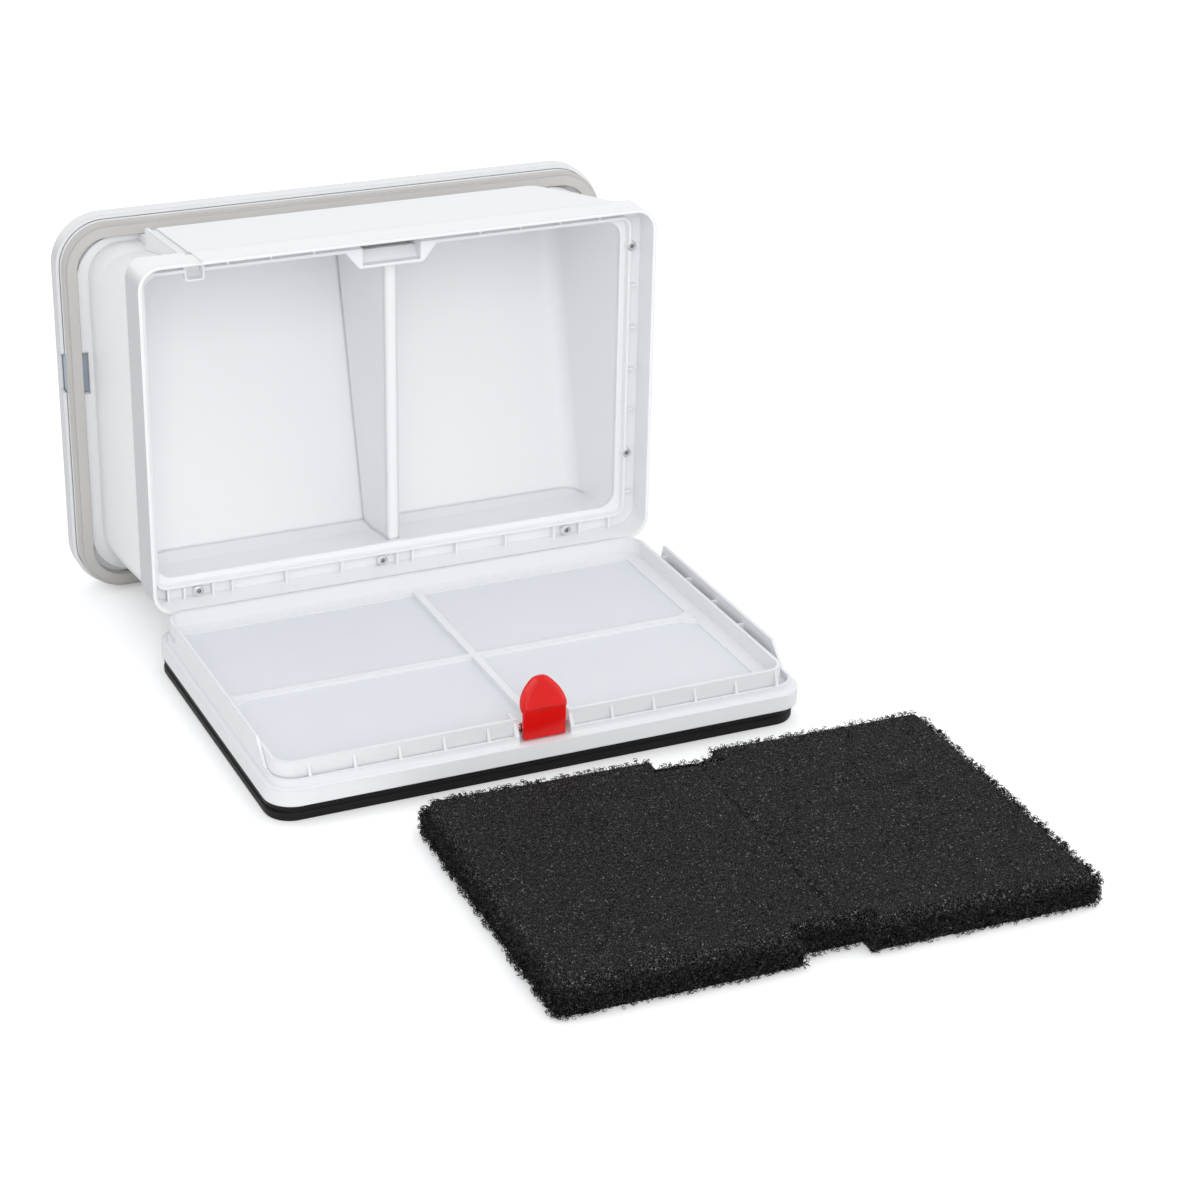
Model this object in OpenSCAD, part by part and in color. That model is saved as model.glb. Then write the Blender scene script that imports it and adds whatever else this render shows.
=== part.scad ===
// Pull-out air filter drawer of a heat-pump dryer, standing with its filter lid folded down.
// X runs along the lid hinge, Y from the open mouth towards the front panel, Z up.
// The origin is on the floor, at the middle of the whole set's outline.

/* [Front panel] */
// Width of the front panel
panel_w = 280; // [270:1:300]
// Height of the front panel
panel_h = 190; // [186:1:196]
// Corner radius of the front panel
panel_r = 24; // [18:1:30]
// Thickness of the front panel's skin, edge to face
panel_t = 8; // [7:0.5:12]
// Wall of the skin
panel_wall = 1.8; // [1.4:0.1:2.4]
// Thickness of the carrier plate behind the skin
carrier_t = 3; // [2:0.5:5]
// Width of the finger recess
grip_w = 92; // [70:1:110]
// Height of the finger recess
grip_h = 34; // [26:1:44]
// Height of the finger recess's middle above the floor
grip_z = 100; // [90:1:104]
// Depth of the finger recess from the front face
grip_depth = 18; // [15:0.5:19]
// Height of the pull bar across the recess
bar_h = 9; // [7:0.5:12]
// Thickness of the pull bar
bar_t = 4; // [3:0.5:5]

/* [Panel seal] */
// Distance from the panel's edge to the seal
seal_inset = 1.8; // [1.6:0.1:3]
// Width of the seal
seal_w = 6.4; // [5.5:0.1:8]
// How far the seal stands off the carrier
seal_t = 5.5; // [4:0.5:7]

/* [Side locks] */
// Distance of each lock from the middle
lock_x = 118; // [112:1:121]
// Height of the locks above the floor
lock_z = 112; // [108:1:116]
// Height of the middle of the flange windows above the floor
window_z = 114.5; // [112:0.5:118]
// Height of a lock bolt
bolt_h = 17.4; // [16:0.2:18]
// Thickness of a lock bolt
bolt_t = 3.6; // [3:0.1:4]
// Length of a lock bolt
bolt_l = 34; // [30:1:38]
// Throw of the crank that drives a bolt
crank_r = 8; // [7.5:0.1:8.2]
// Angle of the crank to either side of upright
crank_swing = 35; // [30:1:38]
// Radius of a lock knob
knob_r = 11; // [10.5:0.5:13]
// Thickness of a lock knob's disc
knob_t = 1.8; // [1.4:0.1:3]
// Height of the finger rib on a knob
knob_rib_h = 2.6; // [2:0.2:4]

/* [Box] */
// Width of the rim round the mouth
rim_w = 254.8; // [252:0.2:257]
// Height of the rim round the mouth
rim_h = 170.5; // [169.5:0.5:172]
// Height of the rim's lower edge above the floor
rim_z = 24.5; // [24.3:0.1:24.8]
// Corner radius of the rim
rim_r = 11; // [10:0.5:12]
// Wall of the rim
rim_wall = 1.8; // [1.4:0.1:1.9]
// Depth of the rim, front to back
rim_depth = 20; // [18:1:22]
// Distance from the rim's edge to the front face of the front panel's skin edge
panel_y = 96; // [94:1:100]
// Depth of the channel inside the rim
channel_depth = 14; // [13.9:0.1:15]
// Width of the channel inside the rim
channel_w = 6.2; // [6:0.1:6.5]
// Width of the channel inside the rim's left side
left_channel_w = 2.6; // [2.4:0.1:3]
// Width of the channel along the top
top_channel_w = 4.9; // [4.7:0.1:5.1]
// Height of the ridge along the channel's inner edge
ridge_h = 3.3; // [2.5:0.1:3.3]
// Height of the small ribs and bosses in the channel
channel_rib_h = 3; // [2:0.1:3.2]
// Wall of the box
box_wall = 2; // [1.6:0.1:2.2]
// Wall of the tub inside the box
tub_wall = 1.6; // [1.2:0.1:1.8]
// Distance from the rim plane to the tub's back wall at its roof
tub_back_top = 90.8; // [86:0.2:91]
// Distance from the rim plane to the tub's back wall at its floor
tub_back_foot = 58; // [50:1:70]
// Height of the tub's floor at the back above the floor
tub_floor_z = 31; // [30:0.5:34]
// Height of the tub's roof at the back above the floor
tub_roof_z = 165; // [155:1:168]
// Radius of the tub's left back corner at its roof
tub_left_r = 32; // [12:1:40]
// Radius of the tub's left back corner at its floor
tub_left_foot_r = 15; // [8:1:16]
// Radius of the tub's right back corner
tub_right_r = 9; // [6:1:14]
// Thickness of the middle divider
divider_t = 2; // [1.6:0.1:3]
// Width of the bead along the divider's edge
bead_w = 6; // [4:0.2:8]
// Distance from the rim plane to the divider's front edge
divider_y = 19; // [17.5:0.5:24]
// Place of the middle line of latch, divider and tray rib
mid_line = -1; // [-3:0.5:3]
// How far the catch pocket reaches left of the latch
catch_left = 4.4; // [1:0.2:6]
// Depth of the catch pocket from the rim plane
catch_depth = 29.5; // [29:0.5:31]
// Height of the catch pocket's floor above the box's floor level
catch_floor_z = 180; // [179:0.2:180.5]

/* [Filter lid] */
// Height of the lid's skirt bottom above the floor
skirt_z = 9.2; // [8.4:0.1:10]
// Height of the lid's flange above the floor
flange_z = 16.5; // [16.3:0.1:16.7]
// Height of the filter tray's rim above the floor
tray_z = 27; // [26:0.2:27.6]
// Height of the side walls above the floor
side_z = 30.3; // [29:0.1:31]
// Distance from the rim plane to the lid's front edge
lid_l = 169.2; // [168:0.2:170]
// Wall of the lid
lid_wall = 1.8; // [1.4:0.1:2]
// Width of the ledge that holds the filter cloth
ledge_w = 8; // [6:0.5:10]
// Width of the same ledge along the tray's left side
left_ledge_w = 2.4; // [2:0.2:6]
// Height of the filter cloth above the floor
cloth_z = 18.6; // [18.2:0.1:19]
// Thickness of the filter cloth
cloth_t = 0.4; // [0.3:0.05:0.6]
// Width of the long tray rib
long_rib_w = 4; // [3:0.2:6]
// Width of the cross tray rib
cross_rib_w = 3.4; // [3:0.2:5]
// Height of the tray ribs above the floor
tray_rib_z = 20.8; // [20:0.1:21.5]
// Spacing of the front gussets
front_gusset_pitch = 20.5; // [18:0.5:21]
// Spacing of the side gussets
side_gusset_pitch = 27.5; // [24:0.5:28]

/* [Hinge] */
// Distance of each hinge from the middle
hinge_x = 92; // [70:1:100]
// Radius of a hinge pin
pin_r = 1.2; // [1:0.05:1.3]
// Radius of a hinge knuckle
knuckle_r = 2.4; // [2.2:0.05:2.5]
// Width of a hinge knuckle
knuckle_w = 8; // [6:0.5:12]
// Radial running clearance round a turning pin
run_gap = 0.06; // [0.03:0.01:0.1]

/* [Latch] */
// Width of the latch tab
tab_w = 22; // [18:0.5:24]
// Height of the latch tab's tip above the floor
tab_z = 44.5; // [42:0.5:45]
// Thickness of the latch tab
tab_t = 2.6; // [2:0.1:2.8]
// How far the latch tab's tip leans back
tab_lean = 5.3; // [5:0.1:6]
// Radius of the latch's pivot pin
latch_pin_r = 1.1; // [0.9:0.05:1.3]
// Wire radius of the latch spring
wire_r = 0.35; // [0.3:0.05:0.5]

/* [Lid gasket] */
// Width of the gasket's upper band
gasket_w = 8; // [7:0.2:9]
// Distance from the lid's edge to the gasket's upper band
gasket_inset = 2.4; // [2:0.1:2.6]
// Height of the gasket's lower lip
gasket_lip_h = 3.6; // [3:0.1:4.4]

/* [Foam pad] */
// Width of the foam pad
pad_w = 240; // [220:1:250]
// Depth of the foam pad
pad_d = 154; // [140:1:160]
// Thickness of the foam pad
pad_t = 15; // [10:0.5:20]
// Place of the foam pad's middle, sideways
pad_x = 46; // [30:1:60]
// Place of the foam pad's middle, in front of the rim plane
pad_y = -275; // [-290:1:-268]
// Turn of the foam pad on the floor
pad_turn = -2; // [-4:0.5:0]
// Width of the notch in each long side
notch_w = 28; // [20:1:36]
// Depth of the notch in each long side
notch_d = 7; // [4:0.5:10]

/* [Fasteners] */
// Radius of a box screw's shank
screw_r = 1.5; // [1.2:0.1:1.6]
// Radius of a box screw's head
screw_head_r = 2.1; // [1.9:0.1:2.15]
// Length of a box screw
screw_l = 6; // [5:0.5:9]

/* [Hidden] */
$fn = 48;
loft_fn = 32;

eps = 0.01;
face_gap = 0.3;
press_gap = 0.02;

// Front panel, seal and carrier
panel_face_y = panel_y + panel_t;
carrier_y = panel_y - carrier_t;
carrier_inset = panel_wall + 0.2;
seal_crest_y = carrier_y - seal_t;
neck_inset = seal_inset + seal_w + face_gap;
neck_w = panel_w - 2 * neck_inset;
neck_z0 = neck_inset;
neck_z1 = panel_h - neck_inset;
neck_r = panel_r - neck_inset + 6;
grip_floor_y = panel_face_y - grip_depth;
grip_r = 7;
pocket_wall = 1.6;

// Side locks
bolt_y0 = carrier_y + face_gap;
bolt_y1 = panel_y + 0.8 + bolt_t;
bolt_tip = panel_w / 2 - 2;
bolt_travel = 2 * crank_r * sin(crank_swing);
crank_pin_r = 1.5;
crank_disc_r = crank_r + crank_pin_r + 0.3;
crank_y0 = bolt_y1 + 0.5;
crank_y1 = panel_face_y - panel_wall - 0.2;
shaft_r = 4;
slot_half_w = crank_pin_r + 0.35;
slot_z0 = crank_r * cos(crank_swing) - crank_pin_r - 0.4;
slot_z1 = crank_r + crank_pin_r + 0.4;
bolt_z1 = lock_z + slot_z1 + 1.6;
bolt_z0 = bolt_z1 - bolt_h - 1.6;
window_x0 = neck_w / 2 - 3.6;
window_w = 3.2;
window_h = 21;

// Box and rim
rim_top = rim_z + rim_h;
rim_in = rim_w / 2 - rim_wall;
rim_in_z0 = rim_z + rim_wall;
rim_in_z1 = rim_top - rim_wall;
ridge_w = 1.6;
ridge_in = rim_in - channel_w - ridge_w;
ridge_left = rim_in - left_channel_w - ridge_w;
ridge_z0 = rim_in_z0 + channel_w + ridge_w;
ridge_z1 = rim_in_z1 - top_channel_w - ridge_w;
ridge_r = 4;
strip_w = 3;
mouth_in = ridge_in - strip_w;
mouth_z0 = ridge_z0 + strip_w;
mouth_z1 = ridge_z1 - 1.2;
mouth_r = 8;
floor_y = channel_depth;
floor_t = 1.5;
ring_t = 1.6;
ring_y = floor_y + floor_t;
shell_y = ring_y + ring_t;
tub_rim_w = 2.6;
tub_left = 117;
tub_right = 113;
flange_t = 2;
shell_half_w = rim_in - 0.1;
shell_z0 = rim_in_z0 + 0.1;
shell_top_z = rim_in_z1 - 0.1;
back_z0 = 15.5;
back_r = 16;
fold_y = 73;
fold_z = 188.5;
fold_right = 108;
side_top_z = 168;
step_x = -100.4;
step_z = 178;
step_front_z = mouth_z1 + tub_wall + box_wall + 0.8;
rib_t = 2;
groove_w = 3.2;
groove_d = 0.9;
pocket_x = -97.8;
pocket_w = 7.4;
pocket_z0 = 183.4;
pocket_h = 6;

// Lid: its closed place follows from the rim, the hinge axis from both
hinge_sum = rim_top + 0.9 - lid_l;
hinge_z = (hinge_sum + flange_z + face_gap) / 2;
hinge_y = hinge_sum - hinge_z;
lid_half_w = rim_w / 2;
lid_back_y = 2;
lid_r = 13;
lip_gap = 0.8;
lip_out = rim_in - lip_gap;
lip_front_y = -(rim_in_z1 - lip_gap - hinge_sum);
lip_t = 1.5;
lip_z = 20;
lip_r = 11;
tray_out = ridge_in + ridge_w + 0.4;
tray_left = lip_out - lip_t - 0.1;
tray_front_y = lip_front_y + 3;
tray_back_y = -2.4;
tray_r = 9;
side_y0 = -26;
side_y1 = -140;
side_ramp = 11;
ledge_t = 2;
cloth_ledge_z = cloth_z + cloth_t + 0.6;
cross_y = (tray_front_y + tray_back_y) / 2 - 2;
cloth_x0 = -tray_left + lid_wall + left_ledge_w;
cloth_x1 = tray_out - lid_wall - ledge_w;
cloth_y0 = tray_front_y + lid_wall + ledge_w;
cloth_y1 = tray_back_y - lid_wall - ledge_w;
flare_w = 7;
gusset_t = 1.5;
gusset_mid = 2.5;
gusset_start = 29.5;

// Latch
tab_base_y = lip_front_y + 0.5;
tab_tip_y = tab_base_y + tab_lean;
pivot_y = tab_base_y + tab_t + 2;
pivot_z = 21.4;
seat_back_y = pivot_y + 3.5;
seat_half_w = tab_w / 2 + 1.2;
jamb_t = 2;
nose_z0 = 37.8;
nose_h = 3;
nose_bite = 1;
nose_tip = tab_tip_y + 2.6;
catch_wall = 1.5;
catch_x0 = mid_line - seat_half_w - catch_left;
catch_x1 = mid_line + seat_half_w - 0.4;
catch_y0 = floor_y + 0.5;
catch_y1 = hinge_y + nose_z0 - hinge_z - 0.6;
catch_top = hinge_sum - nose_tip + nose_bite;
catch_roof_z = shell_top_z - box_wall - 2.8;
catch_rim_z = rim_in_z1;
catch_shell_z = shell_top_z - 1.2;

// Screw bosses in the channel
boss_r = screw_head_r + 0.6;
seat_h = 1.6;
head_h = 0.9;

// Foam pad and the set's outline
pad_half_x = (pad_w * cos(pad_turn) + pad_d * abs(sin(pad_turn))) / 2;
pad_half_y = (pad_d * cos(pad_turn) + pad_w * abs(sin(pad_turn))) / 2;
set_x0 = -panel_w / 2;
set_x1 = pad_x + pad_half_x;
set_y0 = pad_y - pad_half_y;
set_y1 = panel_face_y + face_gap + knob_t + knob_rib_h;
set_mid_x = (set_x0 + set_x1) / 2;
set_mid_y = (set_y0 + set_y1) / 2;

module place() {
    translate([-set_mid_x, -set_mid_y, 0]) children();
}

// Rounded rectangle from corner to corner
module round_rect(x0, x1, y0, y1, r) {
    translate([x0 + r, y0]) square([x1 - x0 - 2 * r, y1 - y0]);
    translate([x0, y0 + r]) square([x1 - x0, y1 - y0 - 2 * r]);
    for (x = [x0 + r, x1 - r], y = [y0 + r, y1 - r])
        translate([x, y]) circle(r);
}

// A flat outline in X and Z, given thickness from y0 to y1
module upright(y0, y1) {
    translate([0, y1, 0]) rotate([90, 0, 0]) linear_extrude(y1 - y0) children();
}

// A flat outline in Y and Z, given thickness from x0 to x1
module sideways(x0, x1) {
    translate([x0, 0, 0]) rotate([90, 0, 90]) linear_extrude(x1 - x0) children();
}

module panel_outline(inset) {
    round_rect(-panel_w / 2 + inset, panel_w / 2 - inset, inset, panel_h - inset, panel_r - inset);
}

module neck_outline(inset) {
    round_rect(-neck_w / 2 + inset, neck_w / 2 - inset, neck_z0 + inset, neck_z1 - inset, neck_r - inset);
}

module rim_outline(inset, r) {
    round_rect(-rim_w / 2 + inset, rim_w / 2 - inset, rim_z + inset, rim_top - inset, r);
}

module ridge_outline(grow) {
    round_rect(
        -ridge_left - grow, ridge_in + grow, ridge_z0 - grow, ridge_z1 + grow, ridge_r + grow
    );
}

module mouth_outline(grow) {
    round_rect(
        -ridge_left - grow, mouth_in + grow, mouth_z0 - grow, mouth_z1 + grow, mouth_r + grow
    );
}

module grip_outline(grow) {
    round_rect(
        -grip_w / 2 - grow, grip_w / 2 + grow,
        grip_z - grip_h / 2 - grow, grip_z + grip_h / 2 + grow, grip_r + grow
    );
}

// ---- Front panel ----

module front_panel() {
    color("white") place() difference() {
        union() {
            upright(panel_y, panel_face_y) panel_outline(0);
            upright(grip_floor_y - pocket_wall, panel_y + 1) grip_outline(pocket_wall);
        }
        difference() {
            upright(panel_y - eps, panel_face_y - panel_wall) panel_outline(panel_wall);
            upright(panel_y - 1, panel_face_y) grip_outline(pocket_wall);
        }
        upright(grip_floor_y, panel_face_y + 1) grip_outline(0);
        for (side = [-1, 1]) {
            translate([side * lock_x, panel_face_y + 1, lock_z]) rotate([90, 0, 0])
                cylinder(r = shaft_r + run_gap, h = panel_wall + 2);
            translate([side * panel_w / 2 - 4, bolt_y0 - face_gap, bolt_z0 - face_gap])
                cube([8, bolt_y1 - bolt_y0 + 2 * face_gap, bolt_z1 - bolt_z0 + 2 * face_gap]);
        }
    }
}

module pull_bar() {
    bar_z1 = grip_z + grip_h / 2 - 2.5;
    color("white") place()
        upright(panel_face_y - bar_t, panel_face_y)
            round_rect(-grip_w / 2, grip_w / 2, bar_z1 - bar_h, bar_z1, bar_h / 2 - 0.5);
}

module panel_carrier() {
    rail_x0 = bolt_tip - bolt_l - 8;
    rail_l = panel_w / 2 - carrier_inset - rail_x0 - 1;
    rail_t = 1.6;
    color("white") place() {
        difference() {
            upright(carrier_y, panel_y) panel_outline(carrier_inset);
            upright(carrier_y - 1, panel_y + 1) grip_outline(pocket_wall + 0.3);
            for (side = [-1, 1]) {
                translate([side > 0 ? rail_x0 : -panel_w / 2, carrier_y - 1, bolt_z0 - face_gap])
                    cube([panel_w / 2 - rail_x0, carrier_t + 2, bolt_z1 - bolt_z0 + 2 * face_gap]);
                for (z = panel_screw_z)
                    translate([side * panel_screw_x, panel_y + 1, z]) rotate([90, 0, 0])
                        cylinder(r = screw_r + 0.1, h = carrier_t + 2);
            }
        }
        for (side = [0, 1]) mirror([side, 0, 0])
            for (z = [bolt_z0 - face_gap - rail_t, bolt_z1 + face_gap])
                translate([rail_x0, panel_y, z]) cube([rail_l, bolt_y1 - panel_y, rail_t]);
    }
}

module panel_seal() {
    color("tan") place() difference() {
        union() {
            upright(seal_crest_y + 1.5, carrier_y) panel_outline(seal_inset);
            upright(seal_crest_y, carrier_y) panel_outline(seal_inset + 1.5);
        }
        upright(seal_crest_y - 1, carrier_y + 1) panel_outline(seal_inset + seal_w);
    }
}

// ---- Side locks ----

module lock_knob(side) {
    shaft_y = crank_y1;
    translate([side * lock_x, 0, lock_z]) {
        translate([0, panel_face_y + face_gap + knob_t, 0]) rotate([90, 0, 0])
            cylinder(r = knob_r, h = knob_t);
        translate([0, panel_face_y + face_gap + knob_t + knob_rib_h / 2, 0])
            cube([4, knob_rib_h, 2 * knob_r - 4], center = true);
        translate([0, panel_face_y + face_gap + eps, 0]) rotate([90, 0, 0])
            cylinder(r = shaft_r, h = panel_face_y + face_gap + eps - shaft_y);
        translate([0, crank_y1, 0]) rotate([90, 0, 0])
            cylinder(r = crank_disc_r, h = crank_y1 - crank_y0);
        translate([-side * crank_r * sin(crank_swing), crank_y0 + eps, crank_r * cos(crank_swing)])
            rotate([90, 0, 0]) cylinder(r = crank_pin_r, h = bolt_t);
    }
}

module lock_bolt(side) {
    slot_x = -side * crank_r * sin(crank_swing) + side * lock_x;
    difference() {
        translate([side > 0 ? bolt_tip - bolt_l : -bolt_tip, bolt_y0, bolt_z0])
            cube([bolt_l, bolt_y1 - bolt_y0, bolt_z1 - bolt_z0]);
        translate([slot_x, (bolt_y0 + bolt_y1) / 2, lock_z + (slot_z0 + slot_z1) / 2])
            cube([2 * slot_half_w, 2 * bolt_y1 - 2 * bolt_y0, slot_z1 - slot_z0], center = true);
    }
}

module lock_knob_left() { color("slategray") place() lock_knob(-1); }
module lock_knob_right() { color("slategray") place() lock_knob(1); }
module lock_bolt_left() { color("slategray") place() lock_bolt(-1); }
module lock_bolt_right() { color("slategray") place() lock_bolt(1); }

// ---- Box ----

// One rounded corner of a cross-section of the box
module section_corner(x, z, r, y) {
    translate([x, y + 1, z]) rotate([90, 0, 0]) cylinder(r = r, h = 1, $fn = loft_fn);
}

// Cross-sections of the box behind the frame and at the roof's fold, up to a given roof height
module front_section(inset, y, top) {
    r = mouth_r + box_wall - inset / 2;
    for (sx = [-1, 1], z = [shell_z0 + inset + r, top - inset - r])
        section_corner(sx * (shell_half_w - inset - r), z, r, y);
}

module back_section(inset, y, top) {
    r = back_r - inset;
    for (sx = [-1, 1]) section_corner(sx * (shell_half_w - back_r), back_z0 + back_r, r, y);
    section_corner(-shell_half_w + back_r, top - back_r, r, y);
    section_corner(shell_half_w - back_r, side_top_z, r, y);
    section_corner(fold_right - back_r, top - back_r, r, y);
}

// What lies to one side of the step between the roof and the lower left shoulder
module step_side(x, left) {
    translate([left ? x - panel_w : x, 0, 0]) cube([panel_w, panel_y, panel_h + 10]);
}

// The box's form, with the roof on the right of the step and the lower shoulder on its left
module shell_form(inset) {
    front_y = inset > 0 ? shell_y - 6 : shell_y - ring_t;
    back_y = inset > 0 ? carrier_y + 1 : carrier_y;
    bend_y = fold_y - inset;
    split_x = step_x + inset;
    for (left = [false, true]) intersection() {
        step_side(split_x, left);
        hull() {
            front_section(inset, front_y, left ? step_front_z : shell_top_z);
            back_section(inset, bend_y - 1, left ? step_z : fold_z);
        }
    }
    intersection() {
        step_side(split_x, false);
        hull() {
            back_section(inset, bend_y - 1.5, fold_z);
            back_section(inset, back_y - 1, fold_z);
        }
        upright(bend_y - 2, back_y) neck_outline(inset);
    }
    intersection() {
        step_side(split_x, true);
        upright(bend_y - 1.5, back_y) round_rect(
            -shell_half_w + inset, shell_half_w - inset, back_z0 + inset, step_z - inset, back_r - inset
        );
    }
}

module filter_box() {
    color("white") place() {
        difference() {
            union() {
                shell_form(0);
                upright(ring_y, shell_y) rim_outline(rim_wall + 0.1, rim_r - rim_wall);
                upright(carrier_y - flange_t, carrier_y) neck_outline(0);
                roof_rib();
            }
            shell_form(box_wall);
            roof_groove();
            upright(ring_y - 1, rim_depth + 0.1) difference() {
                square([2 * panel_w, 3 * panel_h], center = true);
                rim_outline(rim_wall + 0.1, rim_r - rim_wall);
            }
            upright(ring_y - 1, shell_y + 1) mouth_outline(tub_rim_w + face_gap);
            catch_room(shell_y + 1);
            for (side = [-1, 1])
                translate([side * (window_x0 + window_w / 2), carrier_y, window_z])
                    cube([window_w, 4 * flange_t, window_h], center = true);
            for (s = box_screw_places)
                translate([s[0], shell_y + 1, s[1]]) rotate([90, 0, 0])
                    cylinder(r = screw_r + 0.1, h = ring_t + 2);
        }
        for (side = [-1, 1], z = panel_screw_z) panel_screw_post(side, z);
    }
}

// Rib along the step's upper edge
module roof_rib() {
    sideways(step_x - rib_t, step_x + eps) polygon([
        [rim_depth + 0.1, step_front_z - 6], [rim_depth + 0.1, shell_top_z],
        [fold_y, fold_z + 0.5], [fold_y, step_z - 1]
    ]);
}

// Shallow groove in the roof beside the rib
module roof_groove() {
    sideways(step_x, step_x + groove_w) polygon([
        [shell_y, shell_top_z - groove_d], [shell_y, shell_top_z + 5],
        [fold_y + 1, fold_z + 5], [fold_y + 1, fold_z - groove_d]
    ]);
}

// Post inside the box that a panel screw bites into
module panel_screw_post(side, z) {
    post_l = 7;
    post_r = 2.6;
    translate([side * panel_screw_x, carrier_y, z]) rotate([90, 0, 0]) difference() {
        union() {
            cylinder(r = post_r, h = post_l);
            translate([-post_r, z > panel_h / 2 ? 0 : -post_r - 1.4, 0])
                cube([2 * post_r, post_r + 1.4, post_l]);
        }
        translate([0, 0, -1]) cylinder(r = screw_r, h = post_l + 2);
    }
}

panel_screw_x = 60;
panel_screw_inset = box_wall + 3.6;
panel_screw_z = [back_z0 + panel_screw_inset, neck_z1 - panel_screw_inset];
bottom_screw_z = rim_in_z0 + 2.9;
side_screw_x = ridge_in + 2.1;
box_screw_places = [
    [-102, bottom_screw_z], [-9.5, bottom_screw_z], [88, bottom_screw_z],
    [side_screw_x, 66], [side_screw_x, 173]
];

module box_frame() {
    color("white") place() difference() {
        union() {
            upright(0, rim_depth) difference() {
                rim_outline(0, rim_r);
                rim_outline(rim_wall, rim_r - rim_wall);
            }
            upright(floor_y, ring_y) difference() {
                rim_outline(rim_wall / 2, rim_r - 1);
                mouth_outline(0);
            }
            upright(floor_y - ridge_h, floor_y + eps) difference() {
                ridge_outline(ridge_w);
                ridge_outline(0);
            }
            channel_ribs();
            for (s = box_screw_places)
                translate([s[0], floor_y + eps, s[1]]) rotate([90, 0, 0])
                    cylinder(r = boss_r, h = channel_rib_h);
            catch_bracket();
            upright(floor_y - ridge_h, floor_y + eps) translate([pocket_x - pocket_w / 2, 0])
                round_rect(-1, pocket_w + 1, pocket_z0 - 1, rim_in_z1 + 0.5, 1.8);
            for (side = [-1, 1]) box_knuckles(side);
        }
        for (s = box_screw_places)
            translate([s[0], ring_y + 1, s[1]]) rotate([90, 0, 0]) {
                cylinder(r = screw_r + 0.1, h = channel_rib_h + 3);
                translate([0, 0, floor_t + 1 + seat_h]) cylinder(r = screw_head_r + 0.15, h = channel_rib_h);
            }
        catch_hollow();
        upright(-1, ring_y - 0.3) translate([pocket_x - pocket_w / 2, 0])
            round_rect(0, pocket_w, pocket_z0, pocket_z0 + pocket_h, 1);
        roof_slope();
    }
}

// What is taken off the rim's top so that it falls in one slope with the roof, and the groove in it
module roof_slope() {
    sideways(-rim_w, rim_w) polygon([
        [0, rim_top], [-1, rim_top + 5], [rim_depth + 1, rim_top + 5],
        [rim_depth + 1, shell_top_z + 0.3], [rim_depth, shell_top_z + 0.3]
    ]);
    sideways(step_x, step_x + groove_w) polygon([
        [-1, rim_top - groove_d], [-1, rim_top + 5], [rim_depth + 1, rim_top + 5],
        [rim_depth + 1, shell_top_z - 0.1], [rim_depth - 6, shell_top_z + 0.4]
    ]);
}

// Small ribs across the channel
module channel_ribs() {
    rib_t = 1.2;
    for (x = [-117, -109, -95, -85.5, -58.5, -30.5, -2, 6, 29, 55, 81, 95, 111])
        translate([x - rib_t / 2, floor_y - channel_rib_h, rim_in_z0 - 0.5])
            cube([rib_t, channel_rib_h + eps, channel_w + 1]);
    for (i = [-5:5])
        if (abs(i) > 1)
            translate([i * 20.5 - rib_t / 2, floor_y - channel_rib_h, rim_in_z1 - top_channel_w - 0.4])
                cube([rib_t, channel_rib_h + eps, top_channel_w + 0.8]);
    for (z = [45, 89, 110, 131.5, 153])
        translate([ridge_in + ridge_w - 0.4, floor_y - channel_rib_h, z - rib_t / 2])
            cube([4, channel_rib_h + eps, rib_t]);
}

// Pocket under the rim's top edge, with the step that the latch hooks behind
module catch_bracket() {
    foot = 7;
    z0 = catch_floor_z - catch_wall;
    z1 = catch_floor_z + 7;
    upright(floor_y - ridge_h, floor_y + eps) polygon([
        [catch_x0 - catch_wall - foot, z1], [catch_x0 - catch_wall, z0],
        [catch_x1 + catch_wall, z0], [catch_x1 + catch_wall + foot, z1],
        [catch_x1 + catch_wall + foot, z1 + 1], [catch_x0 - catch_wall - foot, z1 + 1]
    ]);
    upright(floor_y, catch_depth + catch_wall)
        translate([catch_x0 - catch_wall, z0])
            square([catch_x1 - catch_x0 + 2 * catch_wall, catch_roof_z - z0]);
}

// The pocket's hollow, open to the front, with the latch's step left standing
module catch_hollow() {
    w = catch_x1 - catch_x0;
    difference() {
        union() {
            upright(-1, rim_depth - 0.5)
                translate([catch_x0, catch_floor_z]) square([w, catch_rim_z - catch_floor_z]);
            upright(floor_y, catch_depth)
                translate([catch_x0, catch_floor_z]) square([w, catch_roof_z + 1 - catch_floor_z]);
        }
        sideways(catch_x0 - 1, catch_x1 + 1) polygon([
            [catch_y0, catch_floor_z - 1], [catch_y0, catch_floor_z], [catch_y1 - 2, catch_top],
            [catch_y1, catch_top], [catch_y1, catch_floor_z - 1]
        ]);
    }
}

// What the box and the tub leave free for the pocket and the latch
module catch_room(y1) {
    grow = catch_wall + face_gap;
    upright(ring_y - 1, y1)
        translate([catch_x0 - grow, catch_floor_z - grow])
            square([catch_x1 - catch_x0 + 2 * grow, catch_roof_z - catch_floor_z + 2 * grow]);
    upright(ring_y - 1, shell_y + eps)
        translate([catch_x0, catch_floor_z]) square([catch_x1 - catch_x0, catch_rim_z - catch_floor_z]);
    upright(shell_y, rim_depth + 5)
        translate([catch_x0, catch_floor_z]) square([catch_x1 - catch_x0, catch_shell_z - catch_floor_z]);
}

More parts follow.
